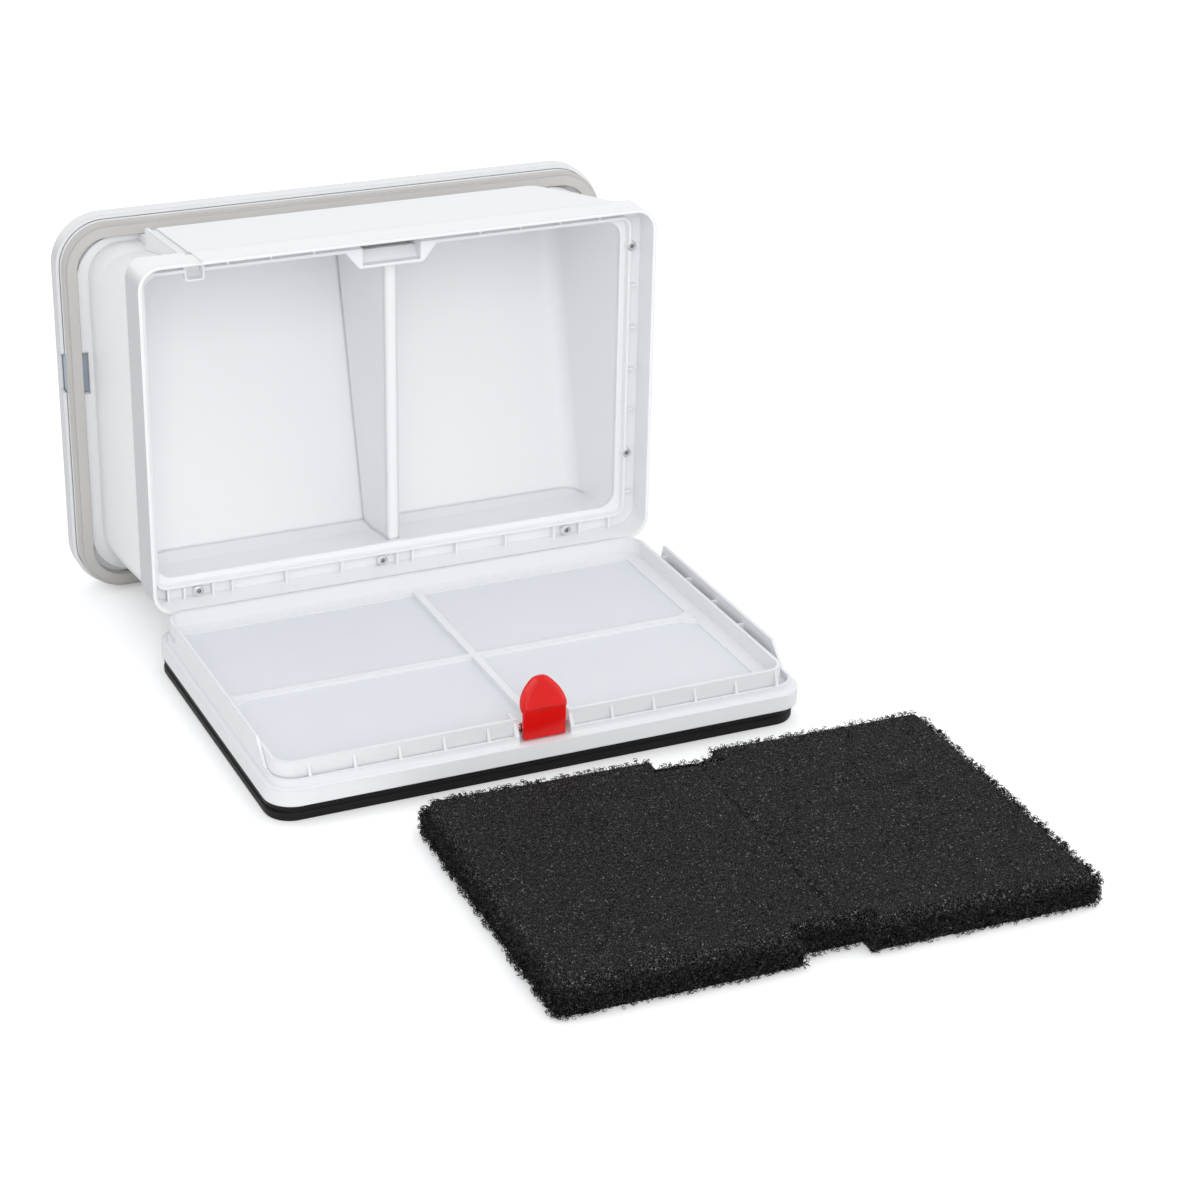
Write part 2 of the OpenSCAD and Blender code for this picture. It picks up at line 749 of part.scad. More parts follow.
// Inside of the tub, or its outside when grown by the wall
module tub_form(grow) {
    front_y = grow > 0 ? ring_y : ring_y - 1;
    hull() {
        upright(front_y, ring_y + 1) mouth_outline(grow);
        tub_corner(-tub_left + tub_left_foot_r, tub_left_foot_r, tub_back_foot, tub_floor_z - grow, grow);
        tub_corner(tub_right - tub_right_r, tub_right_r, tub_back_foot, tub_floor_z - grow, grow);
        tub_corner(-tub_left + tub_left_r, tub_left_r, tub_back_top, tub_roof_z + grow - 1, grow);
        tub_corner(tub_right - tub_right_r, tub_right_r, tub_back_top, tub_roof_z + grow - 1, grow);
    }
}

// Rounded back corner of the tub at one height
module tub_corner(x, r, back_y, z, grow) {
    translate([x, back_y - r, z]) intersection() {
        cylinder(r = r + grow, h = 1, $fn = loft_fn);
        translate([-2 * r - grow, 0, 0]) cube([4 * r + 2 * grow, r + grow, 1]);
    }
}

module inner_tub() {
    color("white") place() {
        difference() {
            union() {
                tub_form(tub_wall);
                upright(ring_y, shell_y) mouth_outline(tub_rim_w);
            }
            tub_form(0);
            catch_room(catch_depth + catch_wall + face_gap);
        }
        intersection() {
            union() {
                translate([mid_line - divider_t / 2, divider_y, 0])
                    cube([divider_t, panel_y, panel_h]);
                translate([mid_line - bead_w / 2, divider_y, 0])
                    cube([bead_w, 2.4, panel_h]);
            }
            tub_form(tub_wall / 2);
            upright(0, panel_y)
                translate([-panel_w, 0]) square([2 * panel_w, catch_floor_z - catch_wall - face_gap]);
        }
    }
}

// ---- Hinge ----

module barrel(x, w, r) {
    translate([x, hinge_y, hinge_z]) rotate([0, 90, 0]) cylinder(r = r, h = w);
}

module box_knuckles(side) {
    for (end = [-1, 1]) {
        x = side * hinge_x + end * (knuckle_w + face_gap) - knuckle_w / 2;
        difference() {
            union() {
                barrel(x, knuckle_w, knuckle_r);
                translate([x, hinge_y - 1.2, hinge_z]) cube([knuckle_w, 2.4, rim_z - hinge_z + 0.5]);
            }
            barrel(x - 1, knuckle_w + 2, pin_r + press_gap);
        }
    }
}

module lid_knuckle(side) {
    x = side * hinge_x - knuckle_w / 2;
    arm_y = 1.6;
    difference() {
        union() {
            barrel(x, knuckle_w, knuckle_r);
            translate([x, hinge_y - arm_y, skirt_z + 3])
                cube([knuckle_w, 2 * arm_y, hinge_z - skirt_z - 3]);
            translate([x, lid_back_y - 1, skirt_z + 3])
                cube([knuckle_w, hinge_y + arm_y - lid_back_y + 1, flange_z - skirt_z - 4]);
        }
        barrel(x - 1, knuckle_w + 2, pin_r + run_gap);
    }
}

module hinge_pins() {
    pin_l = 3 * knuckle_w + 2 * face_gap;
    color("silver") place()
        for (side = [-1, 1]) barrel(side * hinge_x - pin_l / 2, pin_l, pin_r);
}

// ---- Filter lid ----

module lid_outline(inset) {
    round_rect(
        -lid_half_w + inset, lid_half_w - inset, -lid_l + inset, lid_back_y - inset, lid_r - inset
    );
}

module tray_outline(inset) {
    round_rect(
        -tray_left + inset, tray_out - inset, tray_front_y + inset, tray_back_y - inset,
        max(tray_r - inset, 1)
    );
}

module slab(z0, z1) {
    translate([0, 0, z0]) linear_extrude(z1 - z0) children();
}

module cloth_opening() {
    round_rect(cloth_x0, cloth_x1, cloth_y0, cloth_y1, 1);
}

module lid_lip() {
    slab(flange_z - 0.5, lip_z) difference() {
        round_rect(-lip_out, lip_out, lip_front_y, tray_back_y, lip_r);
        round_rect(-lip_out + lip_t, lip_out - lip_t, lip_front_y + lip_t, tray_back_y + 20, lip_r - lip_t);
        translate([-lip_out + 8, -30]) square([2 * lip_out - 16, 60]);
    }
}

module side_wall() {
    sideways(lip_out - lip_t, lip_out) polygon([
        [side_y0 + 14, flange_z - 0.5], [side_y0 + 14, lip_z], [side_y0 + 3, lip_z + 1],
        [side_y0, side_z], [side_y1, side_z], [side_y1 - side_ramp, lip_z],
        [side_y1 - side_ramp, flange_z - 0.5]
    ]);
}

module side_gussets() {
    for (i = [0:4])
        translate([tray_out - 0.5, side_y0 - 4 - i * side_gusset_pitch, 0]) rotate([90, 0, 0])
            translate([0, 0, -gusset_t / 2]) linear_extrude(gusset_t) polygon([
                [0, flange_z - 0.5], [0, tray_z - 0.5], [lip_out - tray_out, i == 4 ? lip_z : tray_z - 0.5],
                [lip_out - tray_out, flange_z - 0.5]
            ]);
}

module front_gusset(x) {
    sideways(x - gusset_t / 2, x + gusset_t / 2) polygon([
        [tray_front_y + 0.5, flange_z - 0.5], [tray_front_y + 0.5, tray_z - 0.4],
        [lip_front_y + lip_t / 2, lip_z - 0.3], [lip_front_y + lip_t / 2, flange_z - 0.5]
    ]);
}

module tray_ribs() {
    slab(cloth_z - 1.6, tray_rib_z) {
        translate([mid_line - long_rib_w / 2, cloth_y0 - 1]) square([long_rib_w, cloth_y1 - cloth_y0 + 2]);
        translate([cloth_x0 - 1, cross_y - cross_rib_w / 2]) square([cloth_x1 - cloth_x0 + 2, cross_rib_w]);
    }
    slab(cloth_z - 1.6, tray_rib_z - 0.6) rib_flares(1);
}

// Where the ribs widen towards the ledge, reaching over it by a given length
module rib_flares(over) {
    half = cross_rib_w / 2;
    polygon([
        [cloth_x0 - over, cross_y - flare_w], [cloth_x0 - over, cross_y + flare_w],
        [cloth_x0 + flare_w, cross_y + half], [cloth_x0 + flare_w, cross_y - half]
    ]);
    polygon([
        [cloth_x1 + over, cross_y - flare_w], [cloth_x1 + over, cross_y + flare_w],
        [cloth_x1 - flare_w, cross_y + half], [cloth_x1 - flare_w, cross_y - half]
    ]);
    polygon([
        [mid_line - flare_w, cloth_y0 - over], [mid_line + flare_w, cloth_y0 - over],
        [mid_line + long_rib_w / 2, cloth_y0 + flare_w], [mid_line - long_rib_w / 2, cloth_y0 + flare_w]
    ]);
}

module latch_seat() {
    seat_x0 = mid_line - seat_half_w - jamb_t;
    seat_w = 2 * (seat_half_w + jamb_t);
    translate([seat_x0, lip_front_y, flange_z - lid_wall])
        cube([seat_w, seat_back_y - lip_front_y + jamb_t, lid_wall]);
    translate([seat_x0, seat_back_y, flange_z - lid_wall])
        cube([seat_w, jamb_t, cloth_ledge_z - flange_z + lid_wall]);
    for (side = [-1, 1])
        sideways(
            mid_line + side * (seat_half_w + jamb_t / 2) - jamb_t / 2,
            mid_line + side * (seat_half_w + jamb_t / 2) + jamb_t / 2
        ) polygon([
            [lip_front_y, flange_z - 0.5], [lip_front_y, lip_z], [tray_front_y + 1, tray_z],
            [seat_back_y + jamb_t, tray_z], [seat_back_y + jamb_t, flange_z - 0.5]
        ]);
}

module lid_frame() {
    color("white") place() difference() {
        union() {
            slab(skirt_z, flange_z) difference() {
                lid_outline(0);
                lid_outline(lid_wall);
            }
            slab(flange_z - lid_wall, flange_z) difference() {
                lid_outline(lid_wall / 2);
                tray_outline(lid_wall / 2);
            }
            slab(flange_z - lid_wall - 2, tray_z) difference() {
                tray_outline(0);
                tray_outline(lid_wall);
            }
            slab(cloth_ledge_z - ledge_t, cloth_ledge_z) difference() {
                tray_outline(lid_wall / 2);
                cloth_opening();
            }
            lid_lip();
            for (side = [0, 1]) mirror([side, 0, 0]) {
                side_wall();
            }
            side_gussets();
            for (side = [-1, 1], i = [0:4])
                front_gusset(gusset_mid + side * (gusset_start + i * front_gusset_pitch));
            tray_ribs();
            latch_seat();
            for (side = [-1, 1]) lid_knuckle(side);
        }
        slab(flange_z, tray_z + 1) latch_floor();
        translate([mid_line - seat_half_w - jamb_t - 1, pivot_y, pivot_z]) rotate([0, 90, 0])
            cylinder(r = latch_pin_r + press_gap, h = 2 * (seat_half_w + jamb_t + 1));
    }
}

module cloth(sx, sy) {
    x0 = sx > 0 ? mid_line + long_rib_w / 2 : cloth_x0;
    x1 = sx > 0 ? cloth_x1 : mid_line - long_rib_w / 2;
    y0 = sy > 0 ? cross_y + cross_rib_w / 2 : cloth_y0;
    y1 = sy > 0 ? cloth_y1 : cross_y - cross_rib_w / 2;
    color("gainsboro") place() slab(cloth_z, cloth_z + cloth_t) difference() {
        intersection() {
            cloth_opening();
            translate([x0, y0]) square([x1 - x0, y1 - y0]);
        }
        rib_flares(1);
        latch_floor();
    }
}

module latch_floor() {
    translate([mid_line - seat_half_w, lip_front_y - 1])
        square([2 * seat_half_w, seat_back_y - lip_front_y + 1]);
}

module cloth_back_left() { cloth(-1, 1); }
module cloth_back_right() { cloth(1, 1); }
module cloth_front_left() { cloth(-1, -1); }
module cloth_front_right() { cloth(1, -1); }

module gasket_ring(z0, z1, inset, w) {
    slab(z0, z1) difference() {
        lid_outline(inset);
        lid_outline(inset + w);
    }
}

module lid_gasket() {
    waist_z = gasket_lip_h + 2.2;
    tongue_in = lid_wall + face_gap;
    color("black") place() {
        gasket_ring(skirt_z - eps, flange_z - lid_wall, tongue_in,
            lid_back_y - tray_back_y - tongue_in - face_gap);
        gasket_ring(waist_z, skirt_z, gasket_inset, gasket_w);
        gasket_ring(gasket_lip_h - eps, waist_z + eps, gasket_inset + 2, gasket_w - 4);
        gasket_ring(0, gasket_lip_h, gasket_inset + 1.6, gasket_w - 2.6);
    }
}

// ---- Latch ----

module latch_tab() {
    foot_z = flange_z + 0.7;
    ledge_z = 30;
    in_y = tab_base_y + tab_t;
    dome_r = tab_w / 2;
    tip_t = 1.6;
    color("red") place() translate([mid_line, 0, 0]) difference() {
        union() {
            upright(tab_base_y, in_y)
                translate([-tab_w / 2 + 1, foot_z]) square([tab_w - 2, ledge_z - foot_z + 1]);
            intersection() {
                sideways(-tab_w, tab_w) polygon([
                    [tab_base_y, ledge_z], [tab_base_y, ledge_z + 1.5], [tab_tip_y - 0.8, tab_z - 4.7],
                    [tab_tip_y, tab_z], [tab_tip_y + tip_t, tab_z], [in_y, ledge_z + 3], [in_y, ledge_z]
                ]);
                upright(tab_base_y - 1, nose_tip) {
                    translate([-dome_r, ledge_z]) square([2 * dome_r, tab_z - dome_r - ledge_z]);
                    translate([0, tab_z - dome_r]) circle(dome_r);
                }
            }
            upright(tab_tip_y - 1.3, nose_tip) translate([-5, nose_z0]) square([10, nose_h]);
            sideways(-tab_w / 2 + 1, tab_w / 2 - 1)
                translate([tab_base_y + 0.5, pivot_z - 2.2]) square([pivot_y - tab_base_y + 1.2, 4.4]);
        }
        translate([-tab_w, pivot_y, pivot_z]) rotate([0, 90, 0])
            cylinder(r = latch_pin_r + run_gap, h = 2 * tab_w);
        translate([-5, in_y, pivot_z - 4]) cube([10, 10, 8]);
    }
}

module latch_pin() {
    pin_l = 2 * (seat_half_w + jamb_t);
    color("silver") place() translate([mid_line - pin_l / 2, pivot_y, pivot_z]) rotate([0, 90, 0])
        cylinder(r = latch_pin_r, h = pin_l);
}

// Closed turns of wire round the pin, with one leg to the tab and one to the lid
module latch_spring() {
    coil_r = latch_pin_r + wire_r + 0.1;
    turns = 8;
    pitch = 1.9 * wire_r;
    end_x = (turns - 1) / 2 * pitch;
    leg_r = 0.85 * wire_r;
    color("silver") place() translate([mid_line, pivot_y, pivot_z]) {
        for (i = [0:turns - 1])
            translate([i * pitch - end_x, 0, 0]) rotate([0, 90, 0])
                rotate_extrude() translate([coil_r, 0]) circle(wire_r, $fn = 16);
        translate([-end_x, -coil_r, -0.1]) cylinder(r = leg_r, h = 6);
        translate([end_x, -0.1, -coil_r]) rotate([-90, 0, 0]) cylinder(r = leg_r, h = 3.3);
    }
}

// ---- Fasteners ----

module screw(head_r, head_h, length) {
    difference() {
        cylinder(r = head_r, h = head_h);
        translate([0, 0, head_h - 1]) cylinder(r = head_r / 2, h = 2, $fn = 6);
    }
    translate([0, 0, -length]) cylinder(r = screw_r, h = length + eps);
}

module box_screws() {
    color("silver") place()
        for (s = box_screw_places)
            translate([s[0], floor_y - seat_h, s[1]]) rotate([90, 0, 0]) screw(screw_head_r, head_h, screw_l);
}

module panel_screws() {
    color("silver") place()
        for (side = [-1, 1], z = panel_screw_z)
            translate([side * panel_screw_x, panel_y, z]) rotate([-90, 0, 0])
                screw(3, 1.8, carrier_t + 5);
}

// ---- Foam pad ----

module foam_pad() {
    edge_drop = 3;
    color("dimgray") place() translate([pad_x, pad_y, 0]) rotate([0, 0, pad_turn])
        difference() {
            translate([-pad_w / 2, -pad_d / 2, 0]) cube([pad_w, pad_d, pad_t]);
            for (side = [-1, 1])
                translate([-notch_w / 2, side * pad_d / 2 - notch_d, -1])
                    cube([notch_w, 2 * notch_d, pad_t + 2]);
            difference() {
                translate([-pad_w, -pad_d, pad_t - edge_drop]) cube([2 * pad_w, 2 * pad_d, pad_t]);
                translate([-pad_w / 2 + 7, -pad_d / 2 + 7, 0]) cube([pad_w - 14, pad_d - 14, 2 * pad_t]);
            }
        }
}

front_panel();
panel_carrier();
panel_seal();
pull_bar();
lock_knob_left();
lock_knob_right();
lock_bolt_left();
lock_bolt_right();
filter_box();
inner_tub();
box_frame();
box_screws();
panel_screws();
hinge_pins();
lid_frame();
cloth_back_left();
cloth_back_right();
cloth_front_left();
cloth_front_right();
lid_gasket();
latch_tab();
latch_pin();
latch_spring();
foam_pad();
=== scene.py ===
import bpy, bmesh, math, random
from mathutils import Vector, Matrix, noise


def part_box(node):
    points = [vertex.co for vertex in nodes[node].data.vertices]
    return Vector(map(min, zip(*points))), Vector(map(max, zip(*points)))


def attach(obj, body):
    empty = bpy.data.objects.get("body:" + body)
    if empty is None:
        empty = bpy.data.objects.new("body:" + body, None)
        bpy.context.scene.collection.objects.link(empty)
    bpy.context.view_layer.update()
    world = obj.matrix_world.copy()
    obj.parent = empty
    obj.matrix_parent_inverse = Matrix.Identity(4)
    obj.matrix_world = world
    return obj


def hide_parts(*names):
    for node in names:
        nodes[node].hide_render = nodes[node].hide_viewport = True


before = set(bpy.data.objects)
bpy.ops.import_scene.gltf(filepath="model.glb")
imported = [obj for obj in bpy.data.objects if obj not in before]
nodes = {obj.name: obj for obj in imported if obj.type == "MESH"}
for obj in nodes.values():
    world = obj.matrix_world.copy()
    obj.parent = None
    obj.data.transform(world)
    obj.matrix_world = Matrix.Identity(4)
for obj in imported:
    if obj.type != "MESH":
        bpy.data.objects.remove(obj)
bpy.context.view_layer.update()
print("frame loaded:", len(nodes), "nodes")

mm = 0.001


# camera, floor and light
cameraSetup = {
    "place": (-0.468207, -1.056480, 0.605400),
    "azimuth": math.radians(-25.42),
    "elevation": math.radians(25.42),
    "roll": 0.0241,
    "lens": 87.55,
    "shift": (-0.01558, 0.02024),
}


def makeCamera(s):
    az, el, roll = s["azimuth"], s["elevation"], s["roll"]
    back = Vector((math.sin(az) * math.cos(el), -math.cos(az) * math.cos(el), math.sin(el)))
    right = (-back).cross(Vector((0, 0, 1))).normalized()
    up = right.cross(-back)
    side = math.cos(roll) * right + math.sin(roll) * up
    top = -math.sin(roll) * right + math.cos(roll) * up
    data = bpy.data.cameras.new("camera")
    data.lens = s["lens"]
    data.sensor_width = 36
    data.shift_x, data.shift_y = s["shift"]
    data.clip_start = 0.05
    camera = bpy.data.objects.new("camera", data)
    bpy.context.scene.collection.objects.link(camera)
    camera.matrix_world = Matrix.Translation(s["place"]) @ Matrix((side, top, back)).transposed().to_4x4()
    bpy.context.scene.camera = camera


lampSetup = {
    "key": {"place": (-0.45, -1.9, 1.15), "aim": (0.0, 0.0, 0.06), "size": 1.3, "watts": 13},
    "side": {"place": (1.6, -0.6, 0.9), "aim": (0.0, 0.0, 0.08), "size": 1.4, "watts": 4},
    "top": {"place": (0.1, 0.1, 1.9), "aim": (0.0, 0.0, 0.0), "size": 1.8, "watts": 1.5},
}


def makeLamp(name, s):
    data = bpy.data.lights.new(name, "AREA")
    data.shape = "SQUARE"
    data.size = s["size"]
    data.energy = s["watts"]
    lamp = bpy.data.objects.new(name, data)
    bpy.context.scene.collection.objects.link(lamp)
    lamp.location = s["place"]
    lamp.rotation_euler = (Vector(s["aim"]) - lamp.location).to_track_quat("-Z", "Y").to_euler()


def addNode(tree, kind, x=0, y=0, **settings):
    made = tree.nodes.new(kind)
    made.location = (x, y)
    for key, value in settings.items():
        setattr(made, key, value)
    return made


roomSetup = {"worldLight": 0.90, "worldColor": (0.97, 0.985, 1.0, 1), "floorSize": 9.0, "floorLift": 0.30}


def makeWorld(s):
    world = bpy.data.worlds.new("room")
    bpy.context.scene.world = world
    world.use_nodes = True
    tree = world.node_tree
    tree.nodes.clear()
    seen = addNode(tree, "ShaderNodeLightPath", -600, 0)
    anyGloss = addNode(tree, "ShaderNodeMath", -400, -60, operation="MAXIMUM")
    tree.links.new(seen.outputs["Is Camera Ray"], anyGloss.inputs[0])
    tree.links.new(seen.outputs["Is Transmission Ray"], anyGloss.inputs[1])
    soft = addNode(tree, "ShaderNodeBackground", -200, 100)
    soft.inputs["Color"].default_value = s["worldColor"]
    soft.inputs["Strength"].default_value = s["worldLight"]
    plain = addNode(tree, "ShaderNodeBackground", -200, -100)
    plain.inputs["Color"].default_value = (1, 1, 1, 1)
    plain.inputs["Strength"].default_value = 1.0
    mix = addNode(tree, "ShaderNodeMixShader", 0, 0)
    out = addNode(tree, "ShaderNodeOutputWorld", 200, 0)
    tree.links.new(anyGloss.outputs[0], mix.inputs[0])
    tree.links.new(soft.outputs[0], mix.inputs[1])
    tree.links.new(plain.outputs[0], mix.inputs[2])
    tree.links.new(mix.outputs[0], out.inputs["Surface"])


def makeFloor(s):
    bpy.ops.object.select_all(action="DESELECT")
    bpy.ops.mesh.primitive_plane_add(size=s["floorSize"], location=(0, 0, -0.0002))
    floor = bpy.context.object
    floor.name = "studioFloor"
    mat = bpy.data.materials.new("studioFloor")
    mat.use_nodes = True
    tree = mat.node_tree
    shader = tree.nodes["Principled BSDF"]
    shader.inputs["Base Color"].default_value = (0.86, 0.86, 0.86, 1)
    shader.inputs["Roughness"].default_value = 0.9
    shader.inputs["Specular IOR Level"].default_value = 0.1
    seen = addNode(tree, "ShaderNodeLightPath", -400, -300)
    lift = addNode(tree, "ShaderNodeMath", -200, -300, operation="MULTIPLY")
    lift.inputs[1].default_value = s["floorLift"]
    tree.links.new(seen.outputs["Is Camera Ray"], lift.inputs[0])
    glow = addNode(tree, "ShaderNodeEmission", 0, -300)
    tree.links.new(lift.outputs[0], glow.inputs["Strength"])
    both = addNode(tree, "ShaderNodeAddShader", 300, -100)
    tree.links.new(shader.outputs[0], both.inputs[0])
    tree.links.new(glow.outputs[0], both.inputs[1])
    tree.links.new(both.outputs[0], tree.nodes["Material Output"].inputs["Surface"])
    floor.data.materials.append(mat)


makeCamera(cameraSetup)
for lampName, lampValues in lampSetup.items():
    makeLamp(lampName, lampValues)
makeWorld(roomSetup)
makeFloor(roomSetup)
bpy.context.scene.view_settings.view_transform = "Standard"
print("stage ready")


# shared effects
def newGroup(name, inputs, outputs):
    group = bpy.data.node_groups.new(name, "ShaderNodeTree")
    for label, kind, value in inputs:
        socket = group.interface.new_socket(name=label, in_out="INPUT", socket_type=kind)
        socket.default_value = value
    for label, kind in outputs:
        group.interface.new_socket(name=label, in_out="OUTPUT", socket_type=kind)
    return group, addNode(group, "NodeGroupInput", -900, 0), addNode(group, "NodeGroupOutput", 600, 0)


def makeMottle():
    # slow and fine unevenness of moulded plastic, 0 to 1
    inputs = [("Slow", "NodeSocketFloat", 18.0), ("Fine", "NodeSocketFloat", 900.0)]
    outputs = [("Slow Mask", "NodeSocketFloat"), ("Fine Mask", "NodeSocketFloat")]
    group, given, out = newGroup("mouldedMottle", inputs, outputs)
    place = addNode(group, "ShaderNodeTexCoord", -900, 300)
    for label, y, detail in (("Slow", 200, 3.0), ("Fine", -200, 2.0)):
        grain = addNode(group, "ShaderNodeTexNoise", -500, y)
        grain.inputs["Detail"].default_value = detail
        group.links.new(place.outputs["Object"], grain.inputs["Vector"])
        group.links.new(given.outputs[label], grain.inputs["Scale"])
        group.links.new(grain.outputs["Fac"], out.inputs[label + " Mask"])
    return group


def makeEdgeLine():
    # 1 along edges, where a highlight is painted, 0 on the faces
    inputs = [("Width", "NodeSocketFloat", 0.0006), ("Gain", "NodeSocketFloat", 6.0)]
    group, given, out = newGroup("edgeHighlightMask", inputs, [("Mask", "NodeSocketFloat")])
    rounded = addNode(group, "ShaderNodeBevel", -600, 100, samples=4)
    group.links.new(given.outputs["Width"], rounded.inputs["Radius"])
    plain = addNode(group, "ShaderNodeNewGeometry", -600, -150)
    dot = addNode(group, "ShaderNodeVectorMath", -400, 0, operation="DOT_PRODUCT")
    group.links.new(rounded.outputs["Normal"], dot.inputs[0])
    group.links.new(plain.outputs["Normal"], dot.inputs[1])
    turn = addNode(group, "ShaderNodeMath", -200, 0, operation="SUBTRACT")
    turn.inputs[0].default_value = 1.0
    group.links.new(dot.outputs["Value"], turn.inputs[1])
    gain = addNode(group, "ShaderNodeMath", 0, 0, operation="MULTIPLY", use_clamp=True)
    group.links.new(turn.outputs[0], gain.inputs[0])
    group.links.new(given.outputs["Gain"], gain.inputs[1])
    group.links.new(gain.outputs[0], out.inputs["Mask"])
    return group


mottle = makeMottle()
edgeHighlightMask = makeEdgeLine()


def newMaterial(name):
    mat = bpy.data.materials.new(name)
    mat.use_nodes = True
    tree = mat.node_tree
    return mat, tree, tree.nodes["Principled BSDF"]


def mixColors(tree, factor, first, second, x, y):
    mix = addNode(tree, "ShaderNodeMix", x, y, data_type="RGBA")
    mix.inputs[6].default_value = (*first, 1)
    mix.inputs[7].default_value = (*second, 1)
    tree.links.new(factor, mix.inputs[0])
    return mix.outputs[2]


def spread(tree, value, low, high, x, y):
    ramp = addNode(tree, "ShaderNodeMapRange", x, y)
    ramp.inputs["From Min"].default_value = 0.3
    ramp.inputs["From Max"].default_value = 0.7
    ramp.inputs["To Min"].default_value = low
    ramp.inputs["To Max"].default_value = high
    tree.links.new(value, ramp.inputs["Value"])
    return ramp.outputs["Result"]


def paintLeftShade(tree, base, s):
    # painted shade: a darker tone on faces that look left, beyond leftEdge only
    facing = addNode(tree, "ShaderNodeTexCoord", -1300, 600)
    apart = addNode(tree, "ShaderNodeSeparateXYZ", -1100, 600)
    tree.links.new(facing.outputs["Normal"], apart.inputs[0])
    toLeft = addNode(tree, "ShaderNodeMapRange", -900, 600)
    toLeft.inputs["From Min"].default_value = -0.75
    toLeft.inputs["From Max"].default_value = -0.98
    tree.links.new(apart.outputs["X"], toLeft.inputs["Value"])
    apartPlace = addNode(tree, "ShaderNodeSeparateXYZ", -1100, 800)
    tree.links.new(facing.outputs["Object"], apartPlace.inputs[0])
    outside = addNode(tree, "ShaderNodeMath", -900, 850, operation="LESS_THAN")
    outside.inputs[1].default_value = s["leftEdge"]
    tree.links.new(apartPlace.outputs["X"], outside.inputs[0])
    onLeft = addNode(tree, "ShaderNodeMath", -700, 700, operation="MULTIPLY")
    tree.links.new(outside.outputs[0], onLeft.inputs[0])
    tree.links.new(toLeft.outputs["Result"], onLeft.inputs[1])
    leftShaded = addNode(tree, "ShaderNodeMix", -450, 400, data_type="RGBA")
    leftShaded.inputs[7].default_value = (*s["leftPaintedShade"], 1)
    tree.links.new(base, leftShaded.inputs[6])
    tree.links.new(onLeft.outputs[0], leftShaded.inputs[0])
    return leftShaded.outputs[2]


def mouldedPlastic(name, s):
    mat, tree, shader = newMaterial(name)
    uneven = addNode(tree, "ShaderNodeGroup", -900, 200, node_tree=mottle)
    uneven.inputs["Slow"].default_value = s["slow"]
    uneven.inputs["Fine"].default_value = s["fine"]
    base = mixColors(tree, uneven.outputs["Slow Mask"], s["color"], s["shade"], -600, 300)
    # the frame and the panel get a painted shade on their outer left sides
    if s.get("leftPaintedShade"):
        base = paintLeftShade(tree, base, s)
    edges = addNode(tree, "ShaderNodeGroup", -900, 0, node_tree=edgeHighlightMask)
    edges.inputs["Width"].default_value = s["edgeWidth"]
    edges.inputs["Gain"].default_value = s["edgeGain"]
    # edges get a painted highlight in the finish's edge colour
    edgeHighlighted = addNode(tree, "ShaderNodeMix", -350, 200, data_type="RGBA")
    edgeHighlighted.inputs[7].default_value = (*s["edge"], 1)
    tree.links.new(base, edgeHighlighted.inputs[6])
    tree.links.new(edges.outputs["Mask"], edgeHighlighted.inputs[0])
    tree.links.new(edgeHighlighted.outputs[2], shader.inputs["Base Color"])
    rough = spread(tree, uneven.outputs["Slow Mask"], *s["rough"], -600, -50)
    tree.links.new(rough, shader.inputs["Roughness"])
    rounded = addNode(tree, "ShaderNodeBevel", -600, -400, samples=4)
    rounded.inputs["Radius"].default_value = s["edgeWidth"]
    bump = addNode(tree, "ShaderNodeBump", -350, -300)
    bump.inputs["Strength"].default_value = s["bump"]
    bump.inputs["Distance"].default_value = 0.0001
    tree.links.new(uneven.outputs["Fine Mask"], bump.inputs["Height"])
    tree.links.new(rounded.outputs["Normal"], bump.inputs["Normal"])
    tree.links.new(bump.outputs["Normal"], shader.inputs["Normal"])
    shader.inputs["IOR"].default_value = 1.49
    shader.inputs["Specular IOR Level"].default_value = s.get("shine", 0.5)
    if s.get("coat"):
        shader.inputs["Coat Weight"].default_value = s["coat"]
        shader.inputs["Coat Roughness"].default_value = 0.12
    return mat
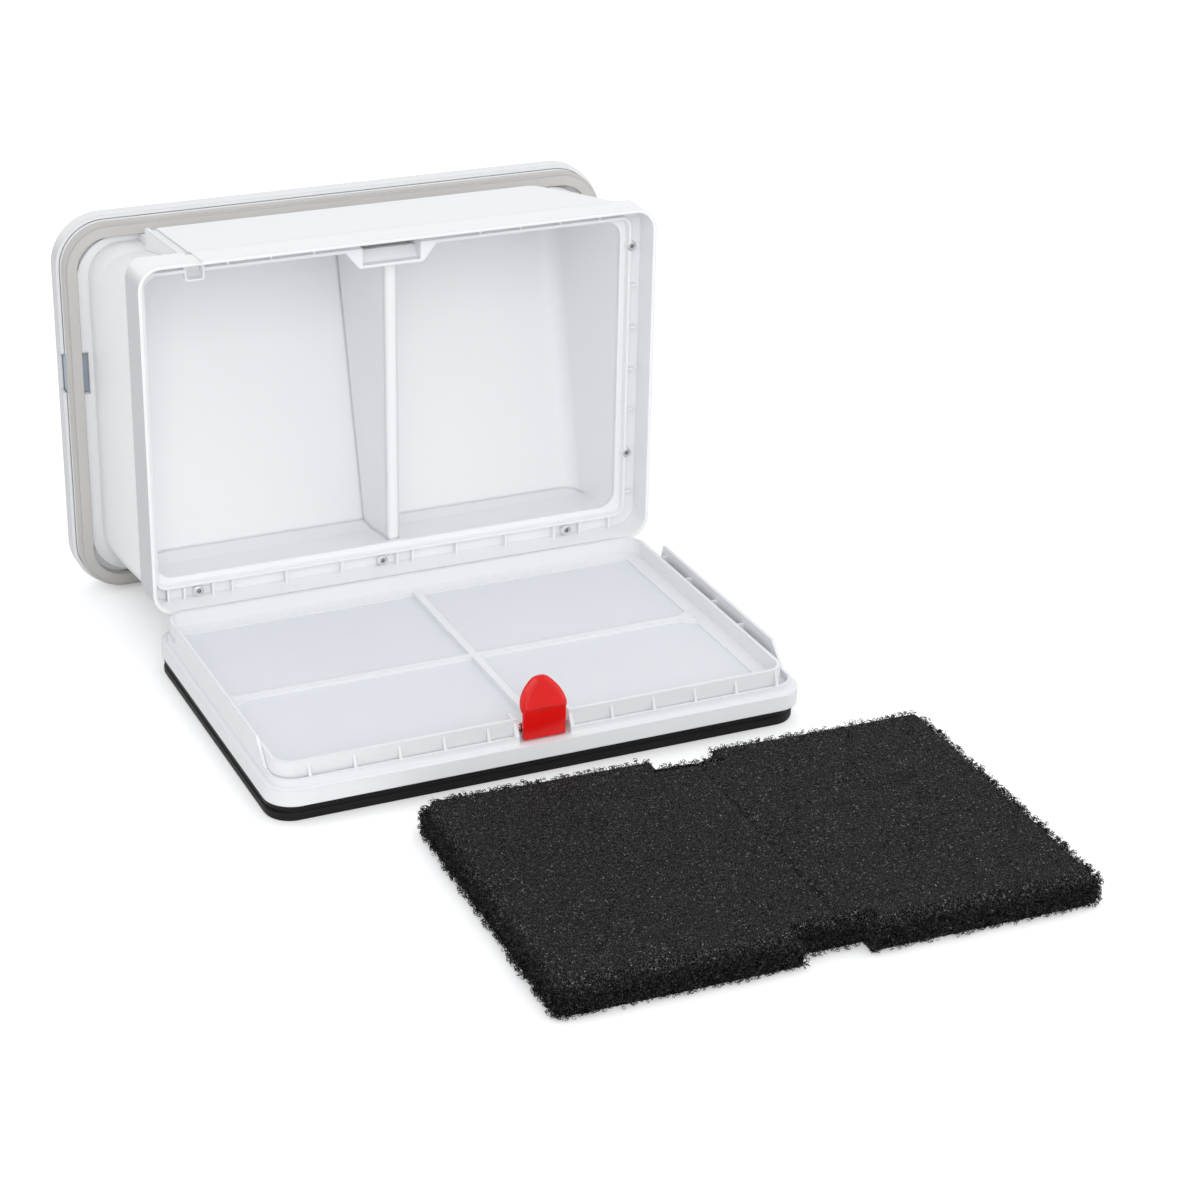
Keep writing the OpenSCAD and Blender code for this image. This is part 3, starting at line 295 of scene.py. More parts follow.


# each finish's edge colour is a painted highlight along its edges
finishes = {
    "whitePlastic": {
        "color": (0.83, 0.835, 0.85), "shade": (0.80, 0.81, 0.83), "edge": (0.90, 0.905, 0.91),
        "slow": 14, "fine": 1400, "rough": (0.34, 0.46), "bump": 0.12, "edgeWidth": 0.0007,
        "edgeGain": 2.5,
    },
    # painted light: a lighter copy of whitePlastic, for the light the shell's walls show
    "shellPlasticPaintedLight": {
        "color": (0.88, 0.88, 0.895), "shade": (0.86, 0.865, 0.88), "edge": (0.92, 0.92, 0.93),
        "slow": 12, "fine": 1300, "rough": (0.3, 0.42), "bump": 0.1, "edgeWidth": 0.0014,
        "edgeGain": 1.2,
    },
    # painted light: a lighter copy of whitePlastic, against the shade inside the tub
    "tubPlasticPaintedLight": {
        "color": (0.89, 0.892, 0.905), "shade": (0.87, 0.875, 0.89), "edge": (0.91, 0.912, 0.92),
        "slow": 10, "fine": 1100, "rough": (0.36, 0.5), "bump": 0.15, "edgeWidth": 0.0035,
        "edgeGain": 1.0,
    },
    # painted light: a lighter copy of whitePlastic, against the shade in the frame's deep channel
    "framePlasticPaintedLight": {
        "color": (0.90, 0.902, 0.915), "shade": (0.88, 0.885, 0.90), "edge": (0.92, 0.922, 0.93),
        "slow": 14, "fine": 1400, "rough": (0.34, 0.46), "bump": 0.12, "edgeWidth": 0.0007,
        "edgeGain": 2.5, "leftPaintedShade": (0.57, 0.575, 0.60), "leftEdge": -0.125,
    },
    # painted shade: darker than whitePlastic, against the light on the panel's top faces
    "panelPlasticPaintedShade": {
        "color": (0.80, 0.805, 0.82), "shade": (0.78, 0.785, 0.80), "edge": (0.90, 0.90, 0.905),
        "slow": 9, "fine": 2000, "rough": (0.2, 0.28), "bump": 0.04, "edgeWidth": 0.001,
        "edgeGain": 2.0, "coat": 0.3, "leftPaintedShade": (0.56, 0.565, 0.59), "leftEdge": -0.140,
    },
    "lockPlastic": {
        "color": (0.40, 0.45, 0.52), "shade": (0.35, 0.40, 0.47), "edge": (0.52, 0.57, 0.63),
        "slow": 40, "fine": 1500, "rough": (0.3, 0.42), "bump": 0.1, "edgeWidth": 0.0005,
        "edgeGain": 2.0,
    },
    "latchRed": {
        "color": (0.78, 0.010, 0.008), "shade": (0.70, 0.006, 0.006), "edge": (0.90, 0.04, 0.03),
        "slow": 60, "fine": 1500, "rough": (0.16, 0.24), "bump": 0.02, "edgeWidth": 0.0004,
        "edgeGain": 1.2, "coat": 0.25, "shine": 0.15,
    },
    "gasketRubber": {
        "color": (0.006, 0.006, 0.007), "shade": (0.011, 0.011, 0.012), "edge": (0.03, 0.03, 0.034),
        "slow": 50, "fine": 1800, "rough": (0.42, 0.58), "bump": 0.2, "edgeWidth": 0.0004,
        "edgeGain": 1.5, "shine": 0.25,
    },
    "sealFoam": {
        "color": (0.58, 0.56, 0.535), "shade": (0.53, 0.515, 0.49), "edge": (0.60, 0.585, 0.56),
        "slow": 30, "fine": 2600, "rough": (0.62, 0.75), "bump": 0.35, "edgeWidth": 0.0006,
        "edgeGain": 1.2, "shine": 0.3,
    },
}
made = {name: mouldedPlastic(name, values) for name, values in finishes.items()}


def plainSteel(name, s):
    mat, tree, shader = newMaterial(name)
    uneven = addNode(tree, "ShaderNodeGroup", -900, 200, node_tree=mottle)
    uneven.inputs["Slow"].default_value = s["slow"]
    uneven.inputs["Fine"].default_value = s["fine"]
    tint = mixColors(tree, uneven.outputs["Slow Mask"], s["color"], s["shade"], -500, 200)
    tree.links.new(tint, shader.inputs["Base Color"])
    rough = spread(tree, uneven.outputs["Fine Mask"], *s["rough"], -500, 0)
    tree.links.new(rough, shader.inputs["Roughness"])
    shader.inputs["Metallic"].default_value = 1.0
    return mat


steels = {
    "zincSteel": {
        "color": (0.74, 0.745, 0.76), "shade": (0.86, 0.865, 0.875), "rough": (0.22, 0.4), "slow": 400,
        "fine": 3000,
    },
    # painted shade for the screw recesses
    "recessPaintedShade": {
        "color": (0.34, 0.34, 0.35), "shade": (0.44, 0.44, 0.45), "rough": (0.35, 0.5), "slow": 500,
        "fine": 3000,
    },
}


def filterCloth():
    # fine woven mesh: two crossed waves give the threads
    mat, tree, shader = newMaterial("filterCloth")
    place = addNode(tree, "ShaderNodeTexCoord", -1200, 0)
    threads = []
    for axis, y in (("X", 150), ("Y", -150)):
        wave = addNode(tree, "ShaderNodeTexWave", -900, y,
                       wave_type="BANDS", bands_direction=axis, wave_profile="SIN")
        wave.inputs["Scale"].default_value = 420
        wave.inputs["Distortion"].default_value = 0.4
        tree.links.new(place.outputs["Object"], wave.inputs["Vector"])
        threads.append(wave.outputs["Fac"])
    weave = addNode(tree, "ShaderNodeMath", -700, 0, operation="MAXIMUM")
    tree.links.new(threads[0], weave.inputs[0])
    tree.links.new(threads[1], weave.inputs[1])
    uneven = addNode(tree, "ShaderNodeGroup", -900, 400, node_tree=mottle)
    uneven.inputs["Slow"].default_value = 16
    uneven.inputs["Fine"].default_value = 500
    tone = mixColors(tree, uneven.outputs["Slow Mask"], (0.72, 0.74, 0.775), (0.77, 0.785, 0.815), -600, 300)
    cloth = addNode(tree, "ShaderNodeMix", -350, 200, data_type="RGBA")
    cloth.inputs[6].default_value = (0.62, 0.65, 0.69, 1)
    tree.links.new(tone, cloth.inputs[7])
    tree.links.new(spread(tree, weave.outputs[0], 0.4, 1.0, -600, 50), cloth.inputs[0])
    tree.links.new(cloth.outputs[2], shader.inputs["Base Color"])
    bump = addNode(tree, "ShaderNodeBump", -350, -200)
    bump.inputs["Strength"].default_value = 0.3
    bump.inputs["Distance"].default_value = 0.0001
    tree.links.new(weave.outputs[0], bump.inputs["Height"])
    tree.links.new(bump.outputs["Normal"], shader.inputs["Normal"])
    shader.inputs["Roughness"].default_value = 0.62
    shader.inputs["Sheen Weight"].default_value = 0.2
    return mat


def openFoam(name, s):
    # charcoal foam: pale struts round near-black cells, where the near-black is painted shade in the open
    # cells; struts on faces that do not look up are painted lighter as painted light, and a few struts get a
    # painted glint
    mat, tree, shader = newMaterial(name)
    place = addNode(tree, "ShaderNodeTexCoord", -1300, 0)
    cells = addNode(tree, "ShaderNodeTexVoronoi", -1000, 100, feature="DISTANCE_TO_EDGE")
    cells.inputs["Scale"].default_value = s["cells"]
    cells.inputs["Randomness"].default_value = 1.0
    tree.links.new(place.outputs["Object"], cells.inputs["Vector"])
    struts = addNode(tree, "ShaderNodeMapRange", -750, 100)
    struts.inputs["From Min"].default_value = 0.025
    struts.inputs["From Max"].default_value = 0.11
    struts.inputs["To Min"].default_value = 1.0
    struts.inputs["To Max"].default_value = 0.0
    tree.links.new(cells.outputs["Distance"], struts.inputs["Value"])
    uneven = addNode(tree, "ShaderNodeGroup", -1000, 400, node_tree=mottle)
    uneven.inputs["Slow"].default_value = s["slow"]
    uneven.inputs["Fine"].default_value = s["fine"]
    lit = addNode(tree, "ShaderNodeMath", -550, 200, operation="MULTIPLY")
    tree.links.new(struts.outputs["Result"], lit.inputs[0])
    tree.links.new(spread(tree, uneven.outputs["Fine Mask"], 0.0, 0.55, -750, 350), lit.inputs[1])
    # painted light: struts on faces that do not look up are painted lighter
    facing = addNode(tree, "ShaderNodeNewGeometry", -1300, 700)
    apartFacing = addNode(tree, "ShaderNodeSeparateXYZ", -1100, 700)
    tree.links.new(facing.outputs["Normal"], apartFacing.inputs[0])
    sidePaintedLift = addNode(tree, "ShaderNodeMapRange", -900, 700)
    sidePaintedLift.inputs["From Min"].default_value = 0.2
    sidePaintedLift.inputs["From Max"].default_value = 0.9
    sidePaintedLift.inputs["To Min"].default_value = s["sidePaintedLight"]
    sidePaintedLift.inputs["To Max"].default_value = 1.0
    tree.links.new(apartFacing.outputs["Z"], sidePaintedLift.inputs["Value"])
    gained = addNode(tree, "ShaderNodeMath", -450, 350, operation="MULTIPLY", use_clamp=True)
    tree.links.new(lit.outputs[0], gained.inputs[0])
    tree.links.new(sidePaintedLift.outputs["Result"], gained.inputs[1])
    # the hollow colour is painted shade in the cells
    tone = mixColors(tree, gained.outputs[0], s["hollow"], s["strut"], -350, 250)
    # painted glints: a few scattered points painted pale as highlights
    paintedGlints = addNode(tree, "ShaderNodeTexVoronoi", -1000, -250, feature="F1")
    paintedGlints.inputs["Scale"].default_value = s["paintedGlints"]
    tree.links.new(place.outputs["Object"], paintedGlints.inputs["Vector"])
    near = addNode(tree, "ShaderNodeMath", -750, -250, operation="LESS_THAN")
    near.inputs[1].default_value = 0.24
    tree.links.new(paintedGlints.outputs["Distance"], near.inputs[0])
    apart = addNode(tree, "ShaderNodeSeparateColor", -750, -400)
    tree.links.new(paintedGlints.outputs["Color"], apart.inputs[0])
    few = addNode(tree, "ShaderNodeMath", -550, -400, operation="GREATER_THAN")
    few.inputs[1].default_value = s["few"]
    tree.links.new(apart.outputs[0], few.inputs[0])
    paintedGlint = addNode(tree, "ShaderNodeMath", -350, -300, operation="MULTIPLY")
    tree.links.new(near.outputs[0], paintedGlint.inputs[0])
    tree.links.new(few.outputs[0], paintedGlint.inputs[1])
    final = addNode(tree, "ShaderNodeMix", -100, 200, data_type="RGBA")
    final.inputs[7].default_value = (*s["paintedGlint"], 1)
    tree.links.new(tone, final.inputs[6])
    tree.links.new(paintedGlint.outputs[0], final.inputs[0])
    tree.links.new(final.outputs[2], shader.inputs["Base Color"])
    bump = addNode(tree, "ShaderNodeBump", -100, -150)
    bump.inputs["Strength"].default_value = 1.0
    bump.inputs["Distance"].default_value = s["depth"]
    tree.links.new(struts.outputs["Result"], bump.inputs["Height"])
    tree.links.new(bump.outputs["Normal"], shader.inputs["Normal"])
    shader.inputs["Roughness"].default_value = 0.6
    shader.inputs["Specular IOR Level"].default_value = 0.12
    return mat


foamFinish = {
    "cells": 860, "slow": 40, "fine": 620, "hollow": (0.0002, 0.0002, 0.0003), "strut": (0.30, 0.30, 0.31),
    "paintedGlints": 1100, "few": 0.95, "paintedGlint": (0.6, 0.6, 0.62), "depth": 0.0009, "sidePaintedLight": 1.6,
}
made["padFoam"] = openFoam("padFoam", foamFinish)
for steelName, steelValues in steels.items():
    made[steelName] = plainSteel(steelName, steelValues)
made["filterCloth"] = filterCloth()

finishOf = {
    "front_panel": "panelPlasticPaintedShade", "pull_bar": "panelPlasticPaintedShade", "panel_carrier": "whitePlastic",
    "panel_seal": "sealFoam", "lock_knob_left": "lockPlastic", "lock_knob_right": "lockPlastic",
    "lock_bolt_left": "lockPlastic", "lock_bolt_right": "lockPlastic",
    "filter_box": "shellPlasticPaintedLight", "inner_tub": "tubPlasticPaintedLight", "box_frame": "framePlasticPaintedLight",
    "box_screws": "zincSteel", "panel_screws": "zincSteel", "hinge_pins": "zincSteel",
    "lid_frame": "whitePlastic", "cloth_back_left": "filterCloth", "cloth_back_right": "filterCloth",
    "cloth_front_left": "filterCloth", "cloth_front_right": "filterCloth", "lid_gasket": "gasketRubber",
    "latch_tab": "latchRed", "latch_pin": "zincSteel", "latch_spring": "zincSteel", "foam_pad": "padFoam",
}
for nodeName, finish in finishOf.items():
    mesh = nodes[nodeName].data
    mesh.materials.clear()
    mesh.materials.append(made[finish])
print("materials placed")


# modelling steps
def selectOnly(obj):
    bpy.ops.object.select_all(action="DESELECT")
    obj.select_set(True)
    bpy.context.view_layer.objects.active = obj


def applyModifier(obj, kind, **values):
    selectOnly(obj)
    modifier = obj.modifiers.new(kind.lower(), kind)
    for key, value in values.items():
        setattr(modifier, key, value)
    bpy.ops.object.modifier_apply(modifier=modifier.name)


def joinPieces(pieces, name):
    bpy.ops.object.select_all(action="DESELECT")
    for piece in pieces:
        piece.select_set(True)
    bpy.context.view_layer.objects.active = pieces[0]
    bpy.ops.object.join()
    pieces[0].name = name
    return pieces[0]


def bakePlace(obj):
    selectOnly(obj)
    bpy.ops.object.transform_apply(location=True, rotation=True, scale=True)


def finishPiece(obj, material, body, node, angle=35):
    bakePlace(obj)
    bpy.ops.object.mode_set(mode="EDIT")
    bpy.ops.mesh.select_all(action="SELECT")
    bpy.ops.mesh.remove_doubles(threshold=0.000005)
    bpy.ops.mesh.normals_make_consistent(inside=False)
    bpy.ops.object.mode_set(mode="OBJECT")
    bpy.ops.object.shade_smooth_by_angle(angle=math.radians(angle))
    obj.data.materials.clear()
    obj.data.materials.append(made[material])
    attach(obj, body)
    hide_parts(node)
    print("piece made:", obj.name, len(obj.data.polygons), "faces")
    return obj


def roundedBlock(size, place, edge):
    bpy.ops.object.select_all(action="DESELECT")
    bpy.ops.mesh.primitive_cube_add(size=1, location=place)
    block = bpy.context.object
    block.scale = size
    bakePlace(block)
    bpy.ops.object.mode_set(mode="EDIT")
    bpy.ops.mesh.select_all(action="SELECT")
    bpy.ops.mesh.bevel(offset=edge, offset_type="OFFSET", segments=2, affect="EDGES")
    bpy.ops.object.mode_set(mode="OBJECT")
    return block


# latch button
latchShape = {
    # half of the dome's outline, out from the middle and up from the floor
    "bell": [
        (0, 44.45), (2.2, 44.3), (4.0, 43.4), (5.6, 41.9), (7.4, 40.0), (8.8, 38.1), (9.9, 36.2),
        (10.6, 34.2), (10.9, 32.4), (10.7, 30.9), (10.2, 30.0),
    ],
    "tipHeight": 44.5, "thick": 1.6, "setBack": 1.0, "leanHeight": 13, "leanCurve": 1.7, "leanBack": 4.6,
    # how far each ring of the dome's front steps in, and how far it stands proud
    "steps": [(0.3, 0.1), (1.0, 0.75), (0.25, 0.12), (0.3, 0.02), (2.0, 0.12), (2.4, 0.1)],
    "plateWidth": 20, "plateThick": 2.5, "plateDrop": 13.2, "plateEdge": 0.35,
    "cheekWidth": 4.6, "cheekRadius": 2.1, "cheekApart": 7.5, "cheekEdge": 0.25,
    "webGap": 1.2, "webHeight": 3.6, "webShift": 0.4, "webEdge": 0.3,
    "noseWidth": 10, "noseDepth": 2.4, "noseHeight": 3, "noseDrop": 4.7, "noseShift": 0.9, "noseEdge": 0.4,
}


def makeLatch(s):
    low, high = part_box("latch_tab")
    midX, baseY, topZ = (low[0] + high[0]) / 2, low[1], high[2]
    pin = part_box("latch_pin")
    pinY, pinZ = (pin[0][1] + pin[1][1]) / 2, (pin[0][2] + pin[1][2]) / 2
    half = [(x * mm, topZ + (z - s["tipHeight"]) * mm) for x, z in s["bell"]]
    outline = half + [(-x, z) for x, z in reversed(half[1:])]

    def leanOf(z):
        # the front leans back from the ledge and stands up again near the tip
        leanHeight = s["leanHeight"] * mm
        rise = min(max((z - (topZ - leanHeight)) / leanHeight, 0), 1)
        return (1 - (1 - rise) ** s["leanCurve"]) * s["leanBack"] * mm

    bpy.ops.object.select_all(action="DESELECT")
    bpy.ops.mesh.primitive_circle_add(vertices=len(outline), radius=0.01, fill_type="NGON",
                                      rotation=(math.pi / 2, 0, 0))
    dome = bpy.context.object
    bakePlace(dome)
    for v, (x, z) in zip(dome.data.vertices, outline):
        v.co = (midX + x, baseY + s["setBack"] * mm, z)
    bpy.ops.object.mode_set(mode="EDIT")
    bpy.ops.mesh.select_all(action="SELECT")
    for wide, proud in s["steps"]:
        bpy.ops.mesh.inset(thickness=wide * mm, depth=0)
        bpy.ops.transform.translate(value=(0, -proud * mm, 0))
    bpy.ops.mesh.select_all(action="DESELECT")
    bpy.ops.mesh.select_non_manifold()
    bpy.ops.mesh.extrude_edges_move(TRANSFORM_OT_translate={"value": (0, s["thick"] * mm, 0)})
    bpy.ops.mesh.edge_face_add()
    bpy.ops.mesh.inset(thickness=0.4 * mm, depth=0)
    bpy.ops.object.mode_set(mode="OBJECT")
    for v in dome.data.vertices:
        v.co.y += leanOf(v.co.z)
    applyModifier(dome, "BEVEL", width=0.35 * mm, segments=2, limit_method="ANGLE",
                  angle_limit=math.radians(50))
    applyModifier(dome, "SUBSURF", levels=2, render_levels=2)
    plateTop, plateFoot = topZ - s["plateDrop"] * mm, low[2]
    plate = roundedBlock((s["plateWidth"] * mm, s["plateThick"] * mm, plateTop - plateFoot),
                         (midX, baseY + s["plateThick"] / 2 * mm, (plateTop + plateFoot) / 2),
                         s["plateEdge"] * mm)
    pieces = [dome, plate]
    for side in (-1, 1):
        cheekX = midX + side * s["cheekApart"] * mm
        bpy.ops.object.select_all(action="DESELECT")
        bpy.ops.mesh.primitive_cylinder_add(vertices=32, radius=s["cheekRadius"] * mm,
                                            depth=s["cheekWidth"] * mm, location=(cheekX, pinY, pinZ),
                                            rotation=(0, math.pi / 2, 0))
        eye = bpy.context.object
        bakePlace(eye)
        bpy.ops.object.mode_set(mode="EDIT")
        bpy.ops.mesh.select_all(action="SELECT")
        bpy.ops.mesh.bevel(offset=s["cheekEdge"] * mm, segments=2, affect="EDGES")
        bpy.ops.object.mode_set(mode="OBJECT")
        web = roundedBlock((s["cheekWidth"] * mm, pinY - baseY - s["webGap"] * mm, s["webHeight"] * mm),
                           (cheekX, (pinY + baseY) / 2 + s["webShift"] * mm, pinZ), s["webEdge"] * mm)
        pieces += [eye, web]
    noseZ = high[2] - s["noseDrop"] * mm - s["noseHeight"] / 2 * mm + s["noseShift"] * mm
    pieces.append(roundedBlock((s["noseWidth"] * mm, s["noseDepth"] * mm, s["noseHeight"] * mm),
                               (midX, high[1] - s["noseDepth"] / 2 * mm, noseZ), s["noseEdge"] * mm))
    return finishPiece(joinPieces(pieces, "latchButton"), "latchRed", "latch", "latch_tab")


makeLatch(latchShape)


# latch spring
springShape = {
    "wire": 0.35, "turns": 8, "turnSteps": 18, "coilRadius": 1.55, "legUp": 6.0, "legIn": 3.3,
    "legWire": 0.85, "legInset": 1.2,
}


def makeSpring(s):
    low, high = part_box("latch_spring")
    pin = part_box("latch_pin")
    midX, pinY, pinZ = (low[0] + high[0]) / 2, (pin[0][1] + pin[1][1]) / 2, (pin[0][2] + pin[1][2]) / 2
    pitch = (high[0] - low[0] - 2 * s["wire"] * mm) / s["turns"]
    bpy.ops.object.select_all(action="DESELECT")
    bpy.ops.mesh.primitive_circle_add(vertices=10, radius=s["wire"] * mm,
                                      location=(0, s["coilRadius"] * mm, 0))
    coil = bpy.context.object
    bakePlace(coil)
    steps, run = s["turnSteps"] * s["turns"], pitch * s["turns"]
    applyModifier(coil, "SCREW", axis="X", angle=math.tau * s["turns"], screw_offset=run, steps=steps,
                  render_steps=steps, iterations=1, use_merge_vertices=False)
    coil.location = (midX - run / 2, pinY, pinZ)
    bakePlace(coil)
    inset, radius = s["legInset"] * s["wire"] * mm, s["coilRadius"] * mm
    upLeg = ((low[0] + inset, pinY - radius, pinZ + s["legUp"] / 2 * mm), s["legUp"], (0, 0, 0))
    inLeg = ((high[0] - inset, pinY + s["legIn"] / 2 * mm, pinZ - radius), s["legIn"], (math.pi / 2, 0, 0))
    pieces = [coil]
    for place, length, turn in (upLeg, inLeg):
        bpy.ops.object.select_all(action="DESELECT")
        bpy.ops.mesh.primitive_cylinder_add(vertices=10, radius=s["legWire"] * s["wire"] * mm,
                                            depth=length * mm, location=place, rotation=turn)
        leg = bpy.context.object
        bakePlace(leg)
        bpy.ops.object.mode_set(mode="EDIT")
        bpy.ops.mesh.select_all(action="SELECT")
        bpy.ops.mesh.bevel(offset=0.08 * mm, segments=1, affect="EDGES")
        bpy.ops.object.mode_set(mode="OBJECT")
        pieces.append(leg)
    return finishPiece(joinPieces(pieces, "latchSpring"), "zincSteel", "lid", "latch_spring")


makeSpring(springShape)


# lid gasket
gasketShape = {
    # inset from the lid's outline and height, round the section
    "section": [
        (1.6, 9.15), (1.1, 8.6), (1.0, 6.2), (1.2, 5.4), (2.6, 5.0), (3.0, 4.6), (2.6, 4.2), (1.0, 3.8),
        (0.8, 3.2), (0.9, 0.9), (1.6, 0.1), (2.8, 0.0), (4.2, 0.3), (5.6, 0.0), (7.4, 0.0), (8.6, 0.3),
        (8.9, 1.2), (8.4, 3.9), (6.8, 4.6), (8.6, 5.2), (9.6, 6.0), (9.9, 9.0), (6.4, 9.15), (6.1, 14.6),
        (2.3, 14.6), (2.2, 9.15),
    ],
    "cornerRadius": 13, "cornerSteps": 12, "sideSteps": 6, "overhang": 2.1,
    # the front's lower part is drawn in, most at its outer face and not at all tuckDepth further in
    "frontTuck": 3.2, "tuckStart": 0.8, "tuckDepth": 6, "tuckTop": 9,
}


def outlineRing(box, inset, radius, steps, sideSteps, tuck):
    x0, y0, x1, y1 = box[0] + inset, box[1] + inset + tuck, box[2] - inset, box[3] - inset
    r = max(radius - inset, 0.001)
    points = []
    corners = ((x1 - r, y1 - r, 0), (x0 + r, y1 - r, 90), (x0 + r, y0 + r, 180), (x1 - r, y0 + r, 270))
    for cx, cy, start in corners:
        for i in range(steps + 1):
            a = math.radians(start + 90 * i / steps)
            points.append(Vector((cx + r * math.cos(a), cy + r * math.sin(a))))
    ring = []
    for i, p in enumerate(points):
        q = points[(i + 1) % len(points)]
        count = sideSteps if (q - p).length > 0.03 else 1
        ring += [p.lerp(q, k / count) for k in range(count)]
    return ring


def makeGasket(s):
    low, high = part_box("lid_gasket")
    grow = s["overhang"] * mm
    box = (low[0] - grow, low[1] - grow, high[0] + grow, high[1] + grow)
    rings = []
    for inset, z in s["section"]:
        share = max(1 - (inset - s["tuckStart"]) / s["tuckDepth"], 0) if z < s["tuckTop"] else 0
        rings.append(outlineRing(box, inset * mm, s["cornerRadius"] * mm, s["cornerSteps"],
                                 s["sideSteps"], share * s["frontTuck"] * mm))
    count = len(rings[0])
    bpy.ops.object.select_all(action="DESELECT")
    bpy.ops.mesh.primitive_circle_add(vertices=count, radius=0.1)
    gasket = bpy.context.object
    gasket.name = "lidGasket"
    bpy.ops.object.mode_set(mode="EDIT")
    bpy.ops.mesh.select_all(action="SELECT")
    for k in range(1, len(rings)):
        bpy.ops.mesh.extrude_edges_move(TRANSFORM_OT_translate={"value": (0, 0, 0.001)})
    bpy.ops.object.mode_set(mode="OBJECT")
    for i, v in enumerate(gasket.data.vertices):
        at = rings[i // count][i % count]
        v.co = (at.x, at.y, s["section"][i // count][1] * mm)
    bm = bmesh.new()
    bm.from_mesh(gasket.data)
    bmesh.ops.bridge_loops(bm, edges=[e for e in bm.edges if e.is_boundary])
    bm.to_mesh(gasket.data)
    bm.free()
    return finishPiece(gasket, "gasketRubber", "lid", "lid_gasket", angle=40)


makeGasket(gasketShape)


# screws
screwShape = {
    "headRadius": 2.05, "headHeight": 1.3, "rim": 0.35, "crown": 0.18, "recess": 1.25, "depth": 0.9,
    "shankRadius": 1.45,
}
headReach = 6 * mm  # corners nearer than this belong to one screw


def screwPlaces(node):
    # the middle of each head, on the side that the driver reaches
    low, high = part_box(node)
    corners = [v.co for v in nodes[node].data.vertices]
    heads = []
    for co in corners:
        for head in heads:
            if (head[0].x - co.x) ** 2 + (head[0].z - co.z) ** 2 < headReach ** 2:
                head.append(co)
                break
        else:
            heads.append([co])
    places = []
    for head in heads:
        xs, zs, ys = [c.x for c in head], [c.z for c in head], [c.y for c in head]
        places.append(Vector(((min(xs) + max(xs)) / 2, min(ys), (min(zs) + max(zs)) / 2)))
    return places, high[1]


def makeScrews(name, node, s):
    places, backY = screwPlaces(node)
    screws = []
    for at in places:
        bpy.ops.object.select_all(action="DESELECT")
        bpy.ops.mesh.primitive_cylinder_add(vertices=36, radius=s["headRadius"] * mm,
                                            depth=s["headHeight"] * mm, rotation=(math.pi / 2, 0, 0),
                                            location=(at.x, at.y + s["headHeight"] / 2 * mm, at.z))
        head = bpy.context.object
        bakePlace(head)
        bpy.ops.object.mode_set(mode="EDIT")
        bpy.ops.mesh.select_all(action="DESELECT")
        bpy.ops.object.mode_set(mode="OBJECT")
        for face in head.data.polygons:
            face.select = face.normal.y < -0.9
        bpy.ops.object.mode_set(mode="EDIT")
        bpy.ops.mesh.select_mode(type="FACE")
        bpy.ops.mesh.inset(thickness=s["rim"] * mm, depth=0)
        bpy.ops.transform.translate(value=(0, -s["crown"] * mm, 0))
        bpy.ops.mesh.inset(thickness=(s["headRadius"] - s["rim"] - s["recess"]) * mm, depth=0)
        bpy.ops.mesh.extrude_region_move(TRANSFORM_OT_translate={"value": (0, s["depth"] * mm, 0)})
        bpy.ops.object.mode_set(mode="OBJECT")
        for v in head.data.vertices:
            dx, dz = v.co.x - at.x, v.co.z - at.z
            if math.hypot(dx, dz) < (s["recess"] + 0.05) * mm:
                # six lobes for the driver
                a = math.atan2(dz, dx)
                r = s["recess"] * mm * (0.92 + 0.1 * math.cos(6 * a))
                v.co.x, v.co.z = at.x + r * math.cos(a), at.z + r * math.sin(a)
        screws += [head, roundedShank(at, backY, s)]
    return joinPieces(screws, name)


def roundedShank(at, backY, s):
    length = backY - at.y - s["headHeight"] * mm + 0.1 * mm
    bpy.ops.object.select_all(action="DESELECT")
    bpy.ops.mesh.primitive_cylinder_add(vertices=16, radius=s["shankRadius"] * mm, depth=length,
                                        location=(at.x, backY - length / 2, at.z),
                                        rotation=(math.pi / 2, 0, 0))
    shank = bpy.context.object
    bakePlace(shank)
    bpy.ops.object.mode_set(mode="EDIT")
    bpy.ops.mesh.select_all(action="SELECT")
    bpy.ops.mesh.bevel(offset=0.2 * mm, segments=1, affect="EDGES")
    bpy.ops.object.mode_set(mode="OBJECT")
    return shank


def paintRecessShade(screws, node, s):
    # the faces inside each screw's recess get a darker steel, a painted shade
    places = screwPlaces(node)[0]
    screws.data.materials.append(made["recessPaintedShade"])
    for face in screws.data.polygons:
        for at in places:
            away = math.hypot(face.center.x - at.x, face.center.z - at.z)
            if away < s["recess"] * mm and abs(face.center.y - at.y) < (s["depth"] + 0.2) * mm:
                face.material_index = 1


for pieceName, nodeName in (("boxScrews", "box_screws"), ("panelScrews", "panel_screws")):
    screws = makeScrews(pieceName, nodeName, screwShape)
    finishPiece(screws, "zincSteel", "drawer", nodeName)
    paintRecessShade(screws, nodeName, screwShape)


# filter cloth
clothShape = {"cell": 0.006, "thick": 0.00016, "sag": 0.00016, "ripple": 0.00004, "rippleScale": 38}


